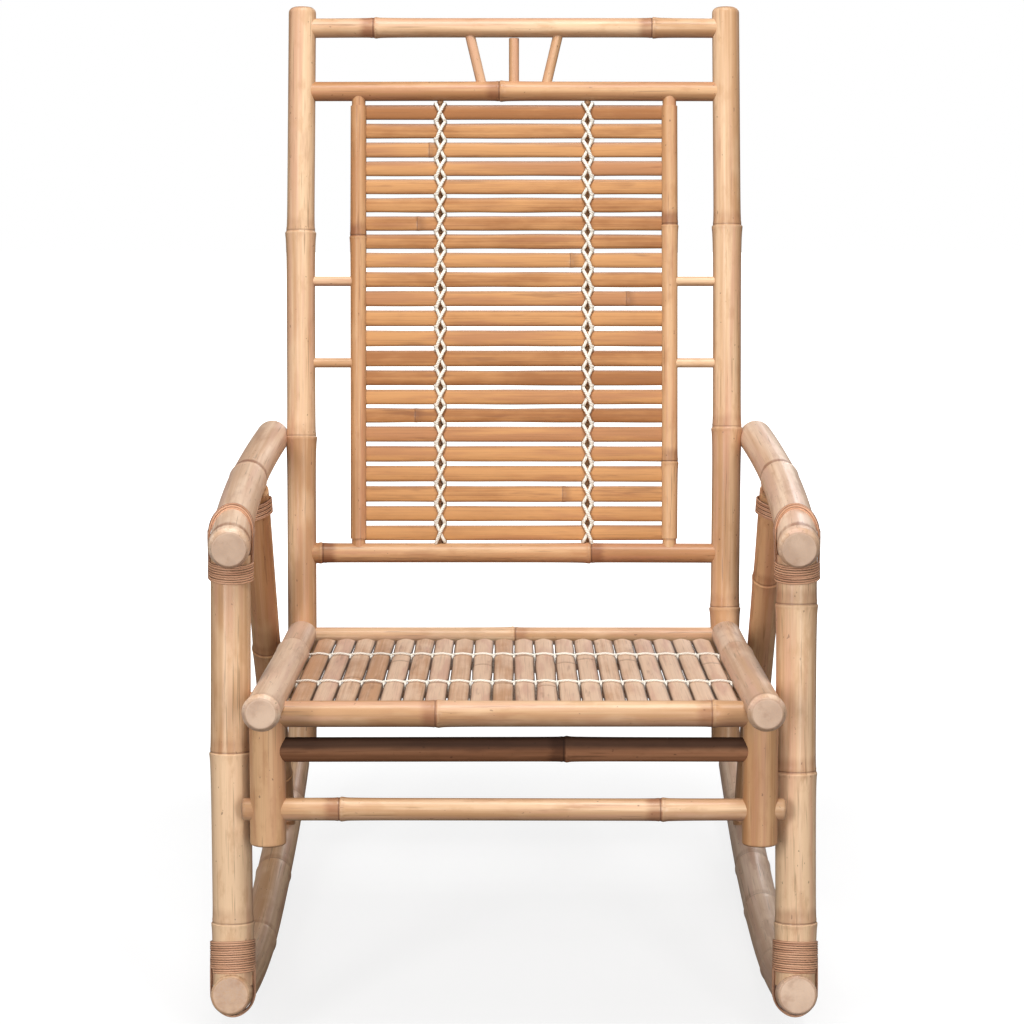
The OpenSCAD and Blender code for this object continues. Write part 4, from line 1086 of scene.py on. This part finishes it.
@dataclass
class SeatFrame(SubAssembly):
    """Side rails, cross rails and bars that carry the seat."""

    front_rail_r: float = 13.2
    front_rail_drop: float = 12.8
    lower_rail_r: float = 12.2
    lower_rail_drop: float = 48.5
    stretcher_r: float = 11.2
    stretcher_drop: float = 108.5
    stretcher_spare: float = 8
    rear_rail_r: float = 10
    rear_rail_drop: float = 3
    side_sunk: float = 8
    cross_sunk: float = 11
    bar_r: float = 6
    bar_z: float = -13.6
    bars: tuple[float, float] = (215, 406)

    def _across(self, name: str, place: tuple[float, float], reach: float, r: float,
                nodes: Sequence[float], shade: Shade = Shade.PALE, **more: object) -> None:
        """One rail across the seat's frame at a place (y, z), from -reach to reach."""
        axis = StraightAxis(S.seat((-reach, *place)), S.seat((reach, *place)))
        self.culm(Culm(name, axis, tapered(r, 0.15, nodes), nodes, back=True, **more), shade)

    def build(self) -> None:
        """Makes the rails and bars."""
        r, y, inner = S.side_rail_r, S.front_setback, S.rail_x - self.cross_sunk
        axis = StraightAxis(S.seat((S.rail_x, 0, 0)), S.seat((S.rail_x, S.rail_length - self.side_sunk, 0)))
        for side, nodes in ((Side.LEFT, (0.0164, 0.728)), (Side.RIGHT, (0.0182, 0.677))):
            self.culm(Culm("side_rail", axis, [r, r - 0.4, S.side_rail_rear_r], nodes, [(0, 0), (0.8, 0.6)],
                           foot=End.CUT, rounding=3.4, stain=0.3, knob=0.09), Shade.WORN_AND_LIT, side)
        # painted shade: the seat front rail and the stretcher get browner skin for less light
        self._across("seat_front_rail", (y, -self.front_rail_drop), inner, self.front_rail_r, (0.337, 0.923),
                     sway=[(0.3, 0.5), (0.2, -0.4)], stain=0.6, paleness=-0.15)
        # painted shade: the lower front rail takes the darker shaded finish, as it lies in the seat's shadow.
        self._across("lower_front_rail", (y, -self.lower_rail_drop), inner, self.lower_rail_r, (0.609,),
                     Shade.SHADED_UNDER_SEAT, sway=[(0.3, -0.6)], stain=0.7)
        self._across("stretcher", (y, -self.stretcher_drop), S.rail_x + S.stub_r + self.stretcher_spare,
                     self.stretcher_r, (0.182, 0.772), sway=[(0.3, 0.4), (-0.3, 0.5)], foot=End.CUT,
                     head=End.CUT, rounding=4, stain=0.8, paleness=-0.15)
        for name, bar_y in zip(("front", "rear"), self.bars):
            self._across(f"seat_bar_{name}", (bar_y, self.bar_z), inner, self.bar_r, (), Shade.DARK,
                         sides=20)
        reach, z = S.rail_x - S.post_r + 6, -self.rear_rail_drop
        self.culm(Culm("seat_rear_rail", StraightAxis(S.back((-reach, 0, z)), S.back((reach, 0, z))),
                       [self.rear_rail_r] * 2, [0.5], [(0, 0)], stain=0.7))


@dataclass
class BackFrame(SubAssembly):
    """Posts, cross rails, fan sticks, stiles, pegs and upright sticks of the back.

    The outer fan sticks are let into the top rail, and the middle one ends fan_gap below it.
    """

    stile_r: float = 9.2
    stile_x: float = 179
    sunk: float = 4
    peg_heights: tuple[float, float] = (312, 406)
    peg_r: float = 5.6
    fan_r: float = 5.8
    fan_top_x: float = 51
    fan_foot_x: float = 37
    fan_gap: float = 0.798
    panel_y: float = -1.5
    groove_ends: tuple[float, float] = (106.5, 611.6)
    groove_depth: float = 5

    def _stick(self, name: str, low: Sequence[float], high: Sequence[float], radii: Sequence[float],
               nodes: Sequence[float] = (), shade: Shade = Shade.PALE, side: Side | None = None,
               **more: object) -> None:
        """One straight piece between two points of the back's frame."""
        self.culm(Culm(name, StraightAxis(S.back(low), S.back(high)), radii, nodes, **more), shade, side)

    def _posts(self) -> None:
        """The two back posts, which bend a little at each node."""
        posts = ((Side.LEFT, (0.082, 0.4205, 0.697), [(0.3, 0), (-1.2, 0.6), (-2.0, 0.4)],
                  (0, 0.3, 0.1, -0.5)),
                 (Side.RIGHT, (0.073, 0.19, 0.433, 0.705), [(0.2, 0), (0.9, 0.2), (-1.4, 0.6), (-1.8, 0.4)],
                  (0, 0.2, 0.3, 0.1, -0.5)))
        # painted shade: the posts get browner skin for less light
        for side, nodes, sway, steps in posts:
            self._stick("back_post", (S.rail_x, 0, -S.post_drop), (S.rail_x, 0, S.top_rail_h + S.post_head),
                        [S.post_r + d for d in steps], nodes, side=side, sway=sway, foot=End.CUT,
                        head=End.CUT, rounding=6.5, flare=1.2, ridge=0.5, stain=0.25, paleness=-0.12)

    def _stiles(self, low: float, second: float, reach: float) -> None:
        """The two grooved stiles, the pegs that hold them to the posts, and the upright sticks."""
        x, y, foot, half_groove = self.stile_x, self.panel_y, low + self.sunk, S.slat_t / 2 + S.fit
        groove = Groove(half_groove, self.groove_depth, *(end - foot for end in self.groove_ends))
        # painted light: the right stile's skin is made paler for the light on it
        for side, nodes, paleness in ((Side.LEFT, (0.688,), 0), (Side.RIGHT, (0.192, 0.713), 0.3)):
            self._stick("stile", (x, y, foot), (x, y, second - self.sunk), [self.stile_r], nodes, Shade.DARK,
                        side, sway=[(-0.4, 0)] * len(nodes), groove=groove, tenon=13, flare=0.5, ridge=0.6,
                        stain=0.7, paleness=paleness)
        for name, h in zip(("low", "high"), self.peg_heights):
            for side in Side:
                self._stick(f"peg_{name}", (x + 3, y, h), (reach, y, h), [self.peg_r], side=side, sides=20)
        x, y = S.lacing_x, y + half_groove + S.upright_r
        for side in Side:
            self._stick("upright", (x, y, low + 6), (x, y, second - 6), [S.upright_r], (), Shade.DARK, side,
                        sides=20)

    def build(self) -> None:
        """Makes the pieces of the back, apart from its slats."""
        self._posts()
        low, second, high, rail_r = S.low_rail_h, S.second_rail_h, S.top_rail_h, S.back_rail_r
        reach = S.rail_x - S.post_r + 6
        rails = (("top_rail", high, (0.157, 0.843), Shade.PALE, 0.8, True),
                 ("second_rail", second, (0.467,), Shade.DARK, 0.6, True),
                 ("low_back_rail", low, (0.027, 0.687), Shade.DARK, 0.9, False))
        # painted shade: the back rails get browner skin for less light
        for name, h, nodes, shade, stain, back in rails:
            self._stick(name, (-reach, 0, h), (reach, 0, h), [rail_r] * (len(nodes) + 1), nodes, shade,
                        sway=[(0.5, 0.4)] * len(nodes), flare=0.6, stain=stain, back=back, paleness=-0.1)
        fans = (("left", -1, self.sunk), ("middle", 0, -self.fan_gap), ("right", 1, self.sunk))
        for name, place, into in fans:
            self._stick(f"fan_stick_{name}", (place * self.fan_foot_x, 0, second + rail_r - self.sunk),
                        (place * self.fan_top_x, 0, high - rail_r + into), [self.fan_r], sides=24)
        self._stiles(low, second, reach)


@dataclass
class Slat:
    """One split slat, lying along x from 0, with its round face toward +z.

    node is the node's distance from x = 0, and waists are the cords' places: behind each the slat
    is a little narrower.
    """

    length: float
    width: float
    crown: float
    node: float | None = None
    rounded_end: float = 0
    bevel: float = 0
    waists: Sequence[float] = ()

    def outline(self) -> Vec:
        """The cross-section, as (across, up) shares of half its width and of its thickness."""
        across = np.array([-1, -0.86, -0.66, -0.45, -0.22, 0, 0.22, 0.45, 0.66, 0.86, 1])
        half = self.width / 2
        top = np.sqrt(self.crown**2 - (across * half) ** 2) - self.crown
        upper = np.stack([across, (S.slat_t + top) / S.slat_t], axis=1)
        rim = np.array([[1.0, upper[-1, 1] - 0.10], [1.0, 0.16], [0.95, 0.02]])
        upper[:, 0] *= 0.975 - self.bevel / half
        lower = np.array([[0.5, 0.0], [0.0, 0.0], [-0.5, 0.0]])
        return np.vstack([upper, rim, lower, rim[::-1] * [-1, 1]])

    def shape(self, rng: np.random.Generator) -> Shape:
        """The slat's surface with its marks, in the slat's own frame.

        Args:
            rng: the source of its small unevenness.

        Returns:
            The surface.
        """
        s = np.unique(np.concatenate([np.linspace(0, self.length, 42), self.length - np.arange(1, 7),
                                      [] if self.node is None else self.node + np.arange(-6, 6.1, 1.0),
                                      *(w + np.arange(-12, 46, 3.0) for w in self.waists)]))
        s = s[(s >= 0) & (s <= self.length)]
        wave = sum(rng.normal(0, 0.10) * np.sin(s / w + rng.uniform(0, 6.3)) for w in (17, 31, 57))
        half = self.width / 2 + wave - abs(rng.normal(0, 0.12))
        thick = np.full(len(s), S.slat_t - 0.1)
        if self.node is not None:
            d = s - self.node
            half = half + 0.25 * np.exp(-((d / 2.5) ** 2))
            thick = thick + 0.35 * np.exp(-((d / 1.8) ** 2)) - 0.25 * np.exp(-(((d + 3) / 1.0) ** 2))
        for waist in self.waists:
            half = half - rng.uniform(0.9, 1.5) * np.exp(-(((s - waist - 13) / 15) ** 4))
        if self.rounded_end:
            tip = np.clip((s - self.length + self.rounded_end) / self.rounded_end, 0, 1)
            half = half * (1 - 0.34 * tip**2.5)
        drift = np.interp(s, [0, self.length / 2, self.length], rng.normal(0, 0.12, 3))
        ones, outline = np.ones((len(s), 1)), self.outline()
        made, flat = swept(np.stack([s, drift, np.zeros(len(s))], axis=1), ones * -Y, ones * Z, outline,
                           np.stack([half, thick], 1))
        along, edge = np.repeat(s, len(outline)), np.tile(np.abs(outline[:, 0]), len(s))
        gap = np.full(len(along), FAR) if self.node is None else along - self.node
        made.marks = {
            "grain": np.column_stack([flat, along]) * MM + rng.uniform(0, 5, 3),
            "node_gap": gap * MM,
            "edge": edge,
            # painted shade on the side walls, darkest on the bevelled seat slats
            "painted_gap_shade": (edge > 0.98) * (1.0 if self.bevel else 0.5),
            "tone": np.full(len(along), rng.uniform(-0.5, 0.5)),
        }
        return made


@dataclass
class Slats(SubAssembly):
    """Slats that go on the chair in groups."""

    group: int = 4

    def _hang(self, shapes: Sequence[Shape], name: str, material: bpy.types.Material) -> None:
        """Makes one piece for each group.

        Args:
            shapes: all the slats, in order.
            name: the nodes' name without its number.
            material: their finish.
        """
        for i in range(0, len(shapes), self.group):
            node = f"{name}_{i // self.group + 1}"
            put_together(f"split_{node}", shapes[i:i + self.group], material, [node])


@dataclass
class SeatSlats(Slats):
    """The slats of the seat, laid front to back."""

    count: int = 20
    width: float = 21.8
    gap: float = 0.7
    bevel: float = 1.5
    sink: float = 2.5
    crown: float = 38
    tucked: float = 4.5
    rounded_end: float = 6
    rear_gap: float = 25

    def build(self, rails: SeatFrame) -> None:
        """Makes the slats in five groups.

        Args:
            rails: the frame whose front rail holds them and whose bars they are laced to.
        """
        rng = np.random.default_rng(41)
        deep = rails.front_rail_drop - self.sink - S.slat_t / 2
        start = S.front_setback + math.sqrt(rails.front_rail_r**2 - deep**2) - self.tucked
        length = S.rail_length - self.rear_gap - start
        shapes = []
        for k in range(self.count):
            x = (k - (self.count - 1) / 2) * (self.width + self.gap)
            node = float(rng.uniform(30, length - 40)) if rng.random() < 0.7 else None
            shape = Slat(length, self.width, self.crown, node, self.rounded_end, self.bevel,
                         [y - start for y in rails.bars]).shape(rng)
            along, across, up = shape.points.T
            shape.points = S.seat(np.stack([x - across, start + along, up - self.sink - S.slat_t], 1))
            shapes.append(shape)
        self._hang(shapes, "seat_slats", self.finishes.seat_slats)


@dataclass
class BackSlats(Slats):
    """The slats of the back panel, from stile to stile.

    sunk has (height, drop) pairs: how far the slats at a height are below their even places.
    """

    count: int = 23
    width: float = 16.5
    spare: float = 0.9
    first: float = 121.75
    last: float = 602.35
    half_length: float = 174.3
    back_y: float = 0.9
    crown: float = 26
    sunk: tuple[tuple[float, float], ...] = (
        (110.8, 5.8), (154.5, 5.2), (198.2, 2.6), (241.9, 0.8), (263.7, 1.9), (307.4, 1.8),
        (373.0, -1.8), (438.5, -2.8), (504.1, -0.2), (547.8, 1.0), (613.3, 1.8))

    def spaced(self, h: Vec | float) -> Vec | float:
        """Heights of places on the panel, with the slats' uneven spacing."""
        return h - np.interp(h, *zip(*self.sunk))

    @property
    def pitch(self) -> float:
        """Distance from slat to slat."""
        return (self.last - self.first) / (self.count - 1)

    def build(self) -> None:
        """Makes the slats in six groups."""
        rng = np.random.default_rng(7)
        shapes = []
        for k in range(self.count):
            node = float(rng.uniform(25, 2 * self.half_length - 25)) if rng.random() < 0.35 else None
            shape = Slat(2 * self.half_length, self.width + self.spare, self.crown, node).shape(rng)
            along, across, up = shape.points.T
            along = along - self.half_length
            height = self.first + k * self.pitch + across + rng.normal(0, 0.0008) * along
            shape.points = S.back(np.stack([along, self.back_y - up, self.spaced(height)], 1))
            shape.flip()
            shapes.append(shape)
        self._hang(shapes, "back_slats", self.finishes.back_slats)


@dataclass
class Lacings(SubAssembly):
    """The cords that lace the slats: crosses up the back, loops round the bars of the seat."""

    cord_r: float = 1.1
    plump: float = 0.85
    seat_plump: float = 0.15
    sides: int = 8
    clear: float = 0.25
    half_cross: float = 5
    slant_share: float = 0.16
    seat_crown: float = 24

    def _strand(self, points: Vec, name: str, side: Side | None) -> None:
        """One cord through points."""
        path = smooth_path(points, 1.2)
        across, up = carried_axes(path, Z if abs(unit(path[1] - path[0])[2]) < 0.9 else Y)
        r = self.cord_r + (self.seat_plump if side is None else self.plump)
        shape, flat = swept(path, across, up, round_outline(self.sides), np.full((len(path), 2), r))
        shape.marks = {"grain": np.column_stack([flat, np.repeat(run_along(path), self.sides)]) * MM}
        put_together("cord_" + name, [shape.put(side)], self.finishes.cord, [name])

    def back_route(self, slats: BackSlats) -> Vec:
        """The back cord's points: up with one slant, down with the other, behind the upright between.

        Args:
            slats: the slats that it laces.

        Returns:
            The points.
        """
        r, gap, x, half = self.cord_r, self.clear, S.lacing_x, self.half_cross
        face = slats.back_y - S.slat_t - r - 2 * gap
        rim = face + slats.crown - math.sqrt(slats.crown**2 - (slats.width / 2) ** 2)
        over, step, behind = face - 2 * r - 2 * gap, r + gap, S.upright_r + r + gap
        rear_y = slats.back_y + S.fit + S.upright_r + behind

        def middle(k: float) -> float:
            """Height of slat k's middle."""
            return slats.first + k * slats.pitch

        def passing(k: int, offset: float) -> float:
            """Height at which the cord passes the gap under slat k."""
            return middle(k - 0.5) + offset if k < slats.count else middle(k - 1) + slats.width / 2 + step

        def round_upright(k: int, offset: float) -> list[tuple[float, float, float]]:
            """Behind the upright stick, from right to left."""
            return [(place, rear_y, passing(k, offset)) for place in (x + behind, x - behind)]

        route = round_upright(0, step)
        for k in range(slats.count):
            route += [(x - half, rim, passing(k, step)), (x, face, middle(k)),
                      (x + half, rim, passing(k + 1, step)), *round_upright(k + 1, step)]
        for k in reversed(range(slats.count)):
            route += [(x - half, rim, passing(k + 1, -step)),
                      (x - half / 3, over, middle(k + self.slant_share)),
                      (x + half / 3, over, middle(k - self.slant_share)),
                      (x + half, rim, passing(k, -step)), *round_upright(k, -step)]
        return S.back([(px, py, slats.spaced(h)) for px, py, h in route])

    def seat_route(self, bar_y: float, slats: SeatSlats, rails: SeatFrame) -> Vec:
        """The seat cord's points: over each slat, down the gap, round the bar and up again.

        Args:
            bar_y: the bar's distance behind the side rails' front ends.
            slats: the slats that it laces.
            rails: the frame that holds the bars.

        Returns:
            The points.
        """
        r, pitch = self.cord_r, slats.width + slats.gap
        slant = 2 * r - self.clear
        turn = (rails.bar_r + r + self.clear) / math.cos(math.radians(30))
        crown = r + 2 * self.clear - slats.sink
        rim = crown - self.seat_crown + math.sqrt(self.seat_crown**2 - (slats.width / 2) ** 2)

        def gap_x(k: float) -> float:
            """Place of the gap before slat k."""
            return (k - slats.count / 2) * pitch

        def round_bar(k: int) -> list[tuple[float, float, float]]:
            """Down the front of the bar, under it and up behind it."""
            x = gap_x(k)
            arc = [(x, bar_y + turn * math.cos(a), rails.bar_z + turn * math.sin(a))
                   for a in np.radians([180, 240, 300, 360])]
            return [(x, bar_y - 2 * slant, rim), *arc, (x, bar_y + 2 * slant, rim)]

        route = round_bar(0)
        for k in range(slats.count):
            route += [(gap_x(k) + slats.gap, bar_y + slant, rim + r), (gap_x(k + 0.5), bar_y, crown),
                      (gap_x(k + 1) - slats.gap, bar_y - slant, rim + r), *round_bar(k + 1)]
        return S.seat(route)

    def build(self, slats: BackSlats, seat: SeatSlats, rails: SeatFrame) -> None:
        """Makes the four cords round the slats of the back and seat."""
        route = self.back_route(slats)
        for side in Side:
            self._strand(route, f"back_lacing_{side.word}", side)
        for name, y in zip(("front", "rear"), rails.bars):
            self._strand(self.seat_route(y, seat, rails), f"seat_lacing_{name}", None)


@dataclass(frozen=True)
class Winding:
    """Turns of cane round a leg, close to the beam that it meets.

    base is where their axes meet, up the leg's direction away from the beam, along the beam's
    direction, and skew how far the turns slant sideways.
    """

    base: Vec
    up: Vec
    along: Vec
    leg_r: float
    beam_r: float
    skew: float = 0
    cane_r: float = 1.7
    gap: float = 0.3
    pitch: float = 4.6
    steps: int = 36

    @cached_property
    def r(self) -> float:
        """Radius of the turns."""
        return self.leg_r + self.gap + self.cane_r

    @cached_property
    def tilt(self) -> float:
        """How far the turns slant along the beam."""
        dot = float(self.along @ self.up)
        return dot / math.sqrt(1 - dot**2)

    @cached_property
    def start(self) -> float:
        """Distance of the nearest turn from the beam's axis."""
        return ((self.beam_r + 2 * self.gap + self.cane_r) * math.sqrt(1 + self.tilt**2)
                + abs(self.skew) * self.r)

    @cached_property
    def rise(self) -> float:
        """Distance along the leg from turn to turn."""
        return self.pitch * math.sqrt(1 + self.tilt**2 + self.skew**2)

    def point(self, psi: float, w: float) -> Vec:
        """A point of a turn, at angle psi and distance w from the beam's axis."""
        side = unit(self.along - (self.along @ self.up) * self.up)
        c, s = math.cos(math.radians(psi)), math.sin(math.radians(psi))
        lift = w + self.r * (self.tilt * s + self.skew * c)
        return self.base + self.up * lift + self.r * (X * c + side * s)

    def plain(self, turns: float) -> Vec:
        """The middle line of some turns round the leg alone."""
        return np.array([self.point(t * 360, self.start + self.rise * t)
                         for t in np.linspace(0, turns, int(turns * self.steps) + 1)])

    def looped(self, turns: float, loops: tuple[float, float], over: Vec, lean: float) -> Vec:
        """Turns round the leg that end in two loops over the beam.

        Args:
            turns: how many turns lie on the leg before the loops.
            loops: the loops' places along the beam.
            over: direction of the beam under the loops.
            lean: how far the loops' tops lie behind their sides.

        Returns:
            The winding's middle line.
        """
        w0, rise = self.start, self.rise
        normal = unit(self.up - (self.up @ over) * over)
        across = unit(X - over[0] * over)
        r = self.beam_r + self.gap + self.cane_r
        first, second = (math.degrees(math.asin(v / self.r)) for v in loops)
        points: list[Vec] = []

        def on_leg(start: float, end: float, height: Callable[[float], float]) -> None:
            """Adds points round the leg from one angle to another."""
            for psi in np.linspace(start, end, max(int(abs(end - start) / 360 * self.steps), 2)):
                points.append(self.point(psi, height(psi)))

        def loop(v: float) -> None:
            """Adds one loop over the beam."""
            for phi in np.radians(np.linspace(0, 180, 19)):
                side = r * (math.cos(phi) * across - math.sin(phi) * normal)
                points.append(self.base + over * (v + lean * math.sin(phi)) + side)

        on_leg(-360 * turns, first - 4, lambda psi: w0 + (2 - psi / 360) * rise)
        loop(loops[0])
        on_leg(180 - first, 360 + second - 4, lambda psi: w0 + (1.5 - (psi - 180) / 360) * rise)
        loop(loops[1])
        on_leg(180 - second, 335 + second, lambda psi: w0 + (0.5 - (psi - 180) / 360) * rise)
        return np.array(points)


@dataclass
class Lashings(SubAssembly):
    """Split cane wound round the leg joints, two strands side by side."""

    half_wide: float = 1.12
    half_thick: float = 1.05
    sunk: float = 0.45
    sides: int = 10
    wobble_every: int = 12
    tones: int = 14

    def _cane(self, name: str, path: Vec, winding: Winding, side: Side) -> None:
        """Makes the two strands that follow one path.

        Args:
            name: the node's name without its side.
            path: the lashing's middle line.
            winding: its turns, which have the leg's place and direction.
            side: the side that it goes to.
        """
        rng, shapes = np.random.default_rng(len(name) * 5 + side.value), []
        path = smooth_path(path, 2.2)
        along, run, count = unit(np.gradient(path, axis=0)), run_along(path), len(path)
        off = path - winding.base
        beside = unit(np.cross(unit(off - (off @ winding.up)[:, None] * winding.up), along))
        outward = np.cross(along, beside)
        knots = np.arange(0, count + self.wobble_every, self.wobble_every)
        for strand in (-1, 1):
            wobbles = rng.normal(0, 0.12, count // self.wobble_every + 2)[:len(knots)]
            shift = strand * self.half_wide + np.interp(np.arange(count), knots, wobbles)
            centres = path + beside * shift[:, None] + outward * (rng.normal(0, 0.1) - self.sunk)
            shape, flat = swept(centres, beside, outward, round_outline(self.sides),
                                np.tile([self.half_wide, self.half_thick], (count, 1)))
            grain = np.column_stack([flat, np.repeat(run, self.sides)]) * MM + rng.uniform(0, 3, 3)
            tone = np.interp(run, np.linspace(0, run[-1], self.tones), rng.uniform(-0.5, 0.5, self.tones))
            shape.marks = {"grain": grain, "edge": np.abs(flat[:, 0]) / self.half_wide,
                           "tone": np.repeat(tone, self.sides)}
            shapes.append(shape.put(side))
        node = f"{name}_{side.word}"
        put_together(f"cane_{node}", shapes, self.finishes.cane, [node])

    def build(self, arms: Armrests) -> None:
        """Makes the eight windings.

        Args:
            arms: the armrests that the legs' heads are lashed to.
        """
        arm = unit(arms.chord)
        rocker, rear_rocker = (S.rocker_along(foot[1]) for foot in (S.front_foot, S.rear_foot))
        front, rear = unit(S.front_head - S.front_foot), unit(S.rear_head - S.rear_foot)
        foot = Winding(S.front_foot, front, rocker, S.front_leg_r, S.rocker_r)
        head = Winding(S.front_head, -front, arm, S.front_leg_r, arms.middle_r)
        rear_foot = Winding(S.rear_foot, rear, rear_rocker, S.rear_leg_r, S.rocker_r)
        rear_head = Winding(S.rear_head, -rear, arm, S.rear_leg_r, arms.middle_r, skew=0.35)
        canes = (("foot_lashing", foot.looped(4.5, (3, -3), rocker, 0), foot),
                 ("arm_lashing", head.looped(1.5, (14, 5), arms.front_along, 34), head),
                 ("rear_foot_lashing", rear_foot.plain(3), rear_foot),
                 ("rear_arm_lashing", rear_head.plain(4), rear_head))
        for side in Side:
            for name, path, winding in canes:
                self._cane(name, path, winding, side)


# --------------------------------------------------------------------------- studio


@dataclass
class Studio:
    """Pale floor, soft lamps and the camera, with their lengths in metres.

    Each lamp has its name, place, size and power in watts.
    """

    camera_place: tuple[float, float, float] = (0, -3.165, 1.040)
    pitch: float = 10.0
    focal_pixels: float = 2900.0
    shift_pixels: float = -2
    picture: int = 1024
    sensor: float = 36.0
    aim: tuple[float, float, float] = (0, -0.1, 0.5)
    lamps: tuple[tuple[str, tuple[float, float, float], tuple[float, float], float], ...] = (
        ("key_lamp", (-2.0, -3.7, 1.45), (0.7, 2.2), 78),
        ("fill_lamp", (1.4, -3.8, 1.1), (0.5, 2.2), 52),
        ("top_lamp", (0.1, -1.0, 3.2), (1.2, 1.2), 69),
        ("back_lamp", (1.2, 3.2, 2.0), (1.2, 1.2), 20))
    floor_half: float = 9.0
    surround: float = 0.19

    def _link(self, name: str, data: bpy.types.ID) -> bpy.types.Object:
        """Puts an object with this data in the scene."""
        made = bpy.data.objects.new(name, data)
        bpy.context.scene.collection.objects.link(made)
        return made

    def floor(self) -> None:
        """A wide white floor that keeps the chair's soft shadow."""
        g = Graph(bpy.data.materials.new("studio_floor"))
        seen, place = g.node("LightPath", output="Is Camera Ray"), g.node("NewGeometry", output="Position")
        away = (place.part(0) * place.part(0) + place.part(1) * place.part(1)) ** 0.5
        matt = g.node("BsdfDiffuse", {"Color": g.mix(seen, (0.2, 0.2, 0.2), (0.5, 0.5, 0.5))})
        white = g.node("Emission", {"Color": WHITE, "Strength": 1.6})
        g.end("Material", g.node("MixShader", {0: seen * away.ramp(0.6, 1.6, 0.5, 1), 1: matt, 2: white}))
        mesh, w = bpy.data.meshes.new("studio_floor"), self.floor_half
        mesh.from_pydata([(-w, -w, 0), (w, -w, 0), (w, w, 0), (-w, w, 0)], [], [(0, 1, 2, 3)])
        mesh.materials.append(g.owner)
        floor = self._link("studio_floor", mesh)

    def world(self) -> None:
        """An even surround that the camera sees as white."""
        g = Graph(bpy.data.worlds.new("studio_surround"))
        plain, white = (g.node("Background", {"Color": WHITE, "Strength": strength})
                        for strength in (self.surround, 1.0))
        seen = g.node("LightPath", output="Is Camera Ray")
        g.end("World", g.node("MixShader", {0: seen, 1: plain, 2: white}))
        bpy.context.scene.world = g.owner

    def lamp(self, name: str, place: Vec, size: tuple[float, float], power: float) -> None:
        """One oblong soft lamp that points at the chair."""
        data = bpy.data.lights.new(name, "AREA")
        data.shape = "RECTANGLE"
        data.size, data.size_y, data.energy = *size, power
        lamp, toward = self._link(name, data), unit(np.array(self.aim) - place)
        lamp.location = place
        lamp.rotation_euler = (math.acos(-toward[2]), 0, math.atan2(-toward[0], toward[1]))

    def camera(self) -> None:
        """The camera at the photograph's angle and distance."""
        data = bpy.data.cameras.new("camera")
        data.sensor_width = self.sensor
        data.lens = self.focal_pixels / self.picture * self.sensor
        data.shift_x = self.shift_pixels / self.picture
        camera = self._link("camera", data)
        camera.location = self.camera_place
        camera.rotation_euler = (math.radians(90 - self.pitch), 0, 0)
        bpy.context.scene.camera = camera

    def build(self) -> None:
        """Makes the studio."""
        bpy.context.scene.view_settings.view_transform = "Standard"
        self.floor()
        self.world()
        for name, place, size, power in self.lamps:
            self.lamp(name, np.array(place), size, power)
        self.camera()


def main() -> None:
    """Builds the studio, then the chair in order."""
    Studio().build()
    log.info("studio and camera")
    finishes = Finishes()
    rails, slats, seat = SeatFrame(finishes, 50), BackSlats(finishes), SeatSlats(finishes)
    arms = Armrests(finishes, 30)
    Rockers(finishes, 10).build()
    Legs(finishes, 20).build()
    arms.build()
    rails.build()
    BackFrame(finishes, 70).build()
    slats.build()
    seat.build(rails)
    Lacings(finishes).build(slats, seat, rails)
    Lashings(finishes).build(arms)
    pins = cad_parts["hidden_pins"]
    for material_slot in pins.material_slots:
        material_slot.material = finishes.culms[Shade.DARK]


if __name__ == "__main__":
    main()
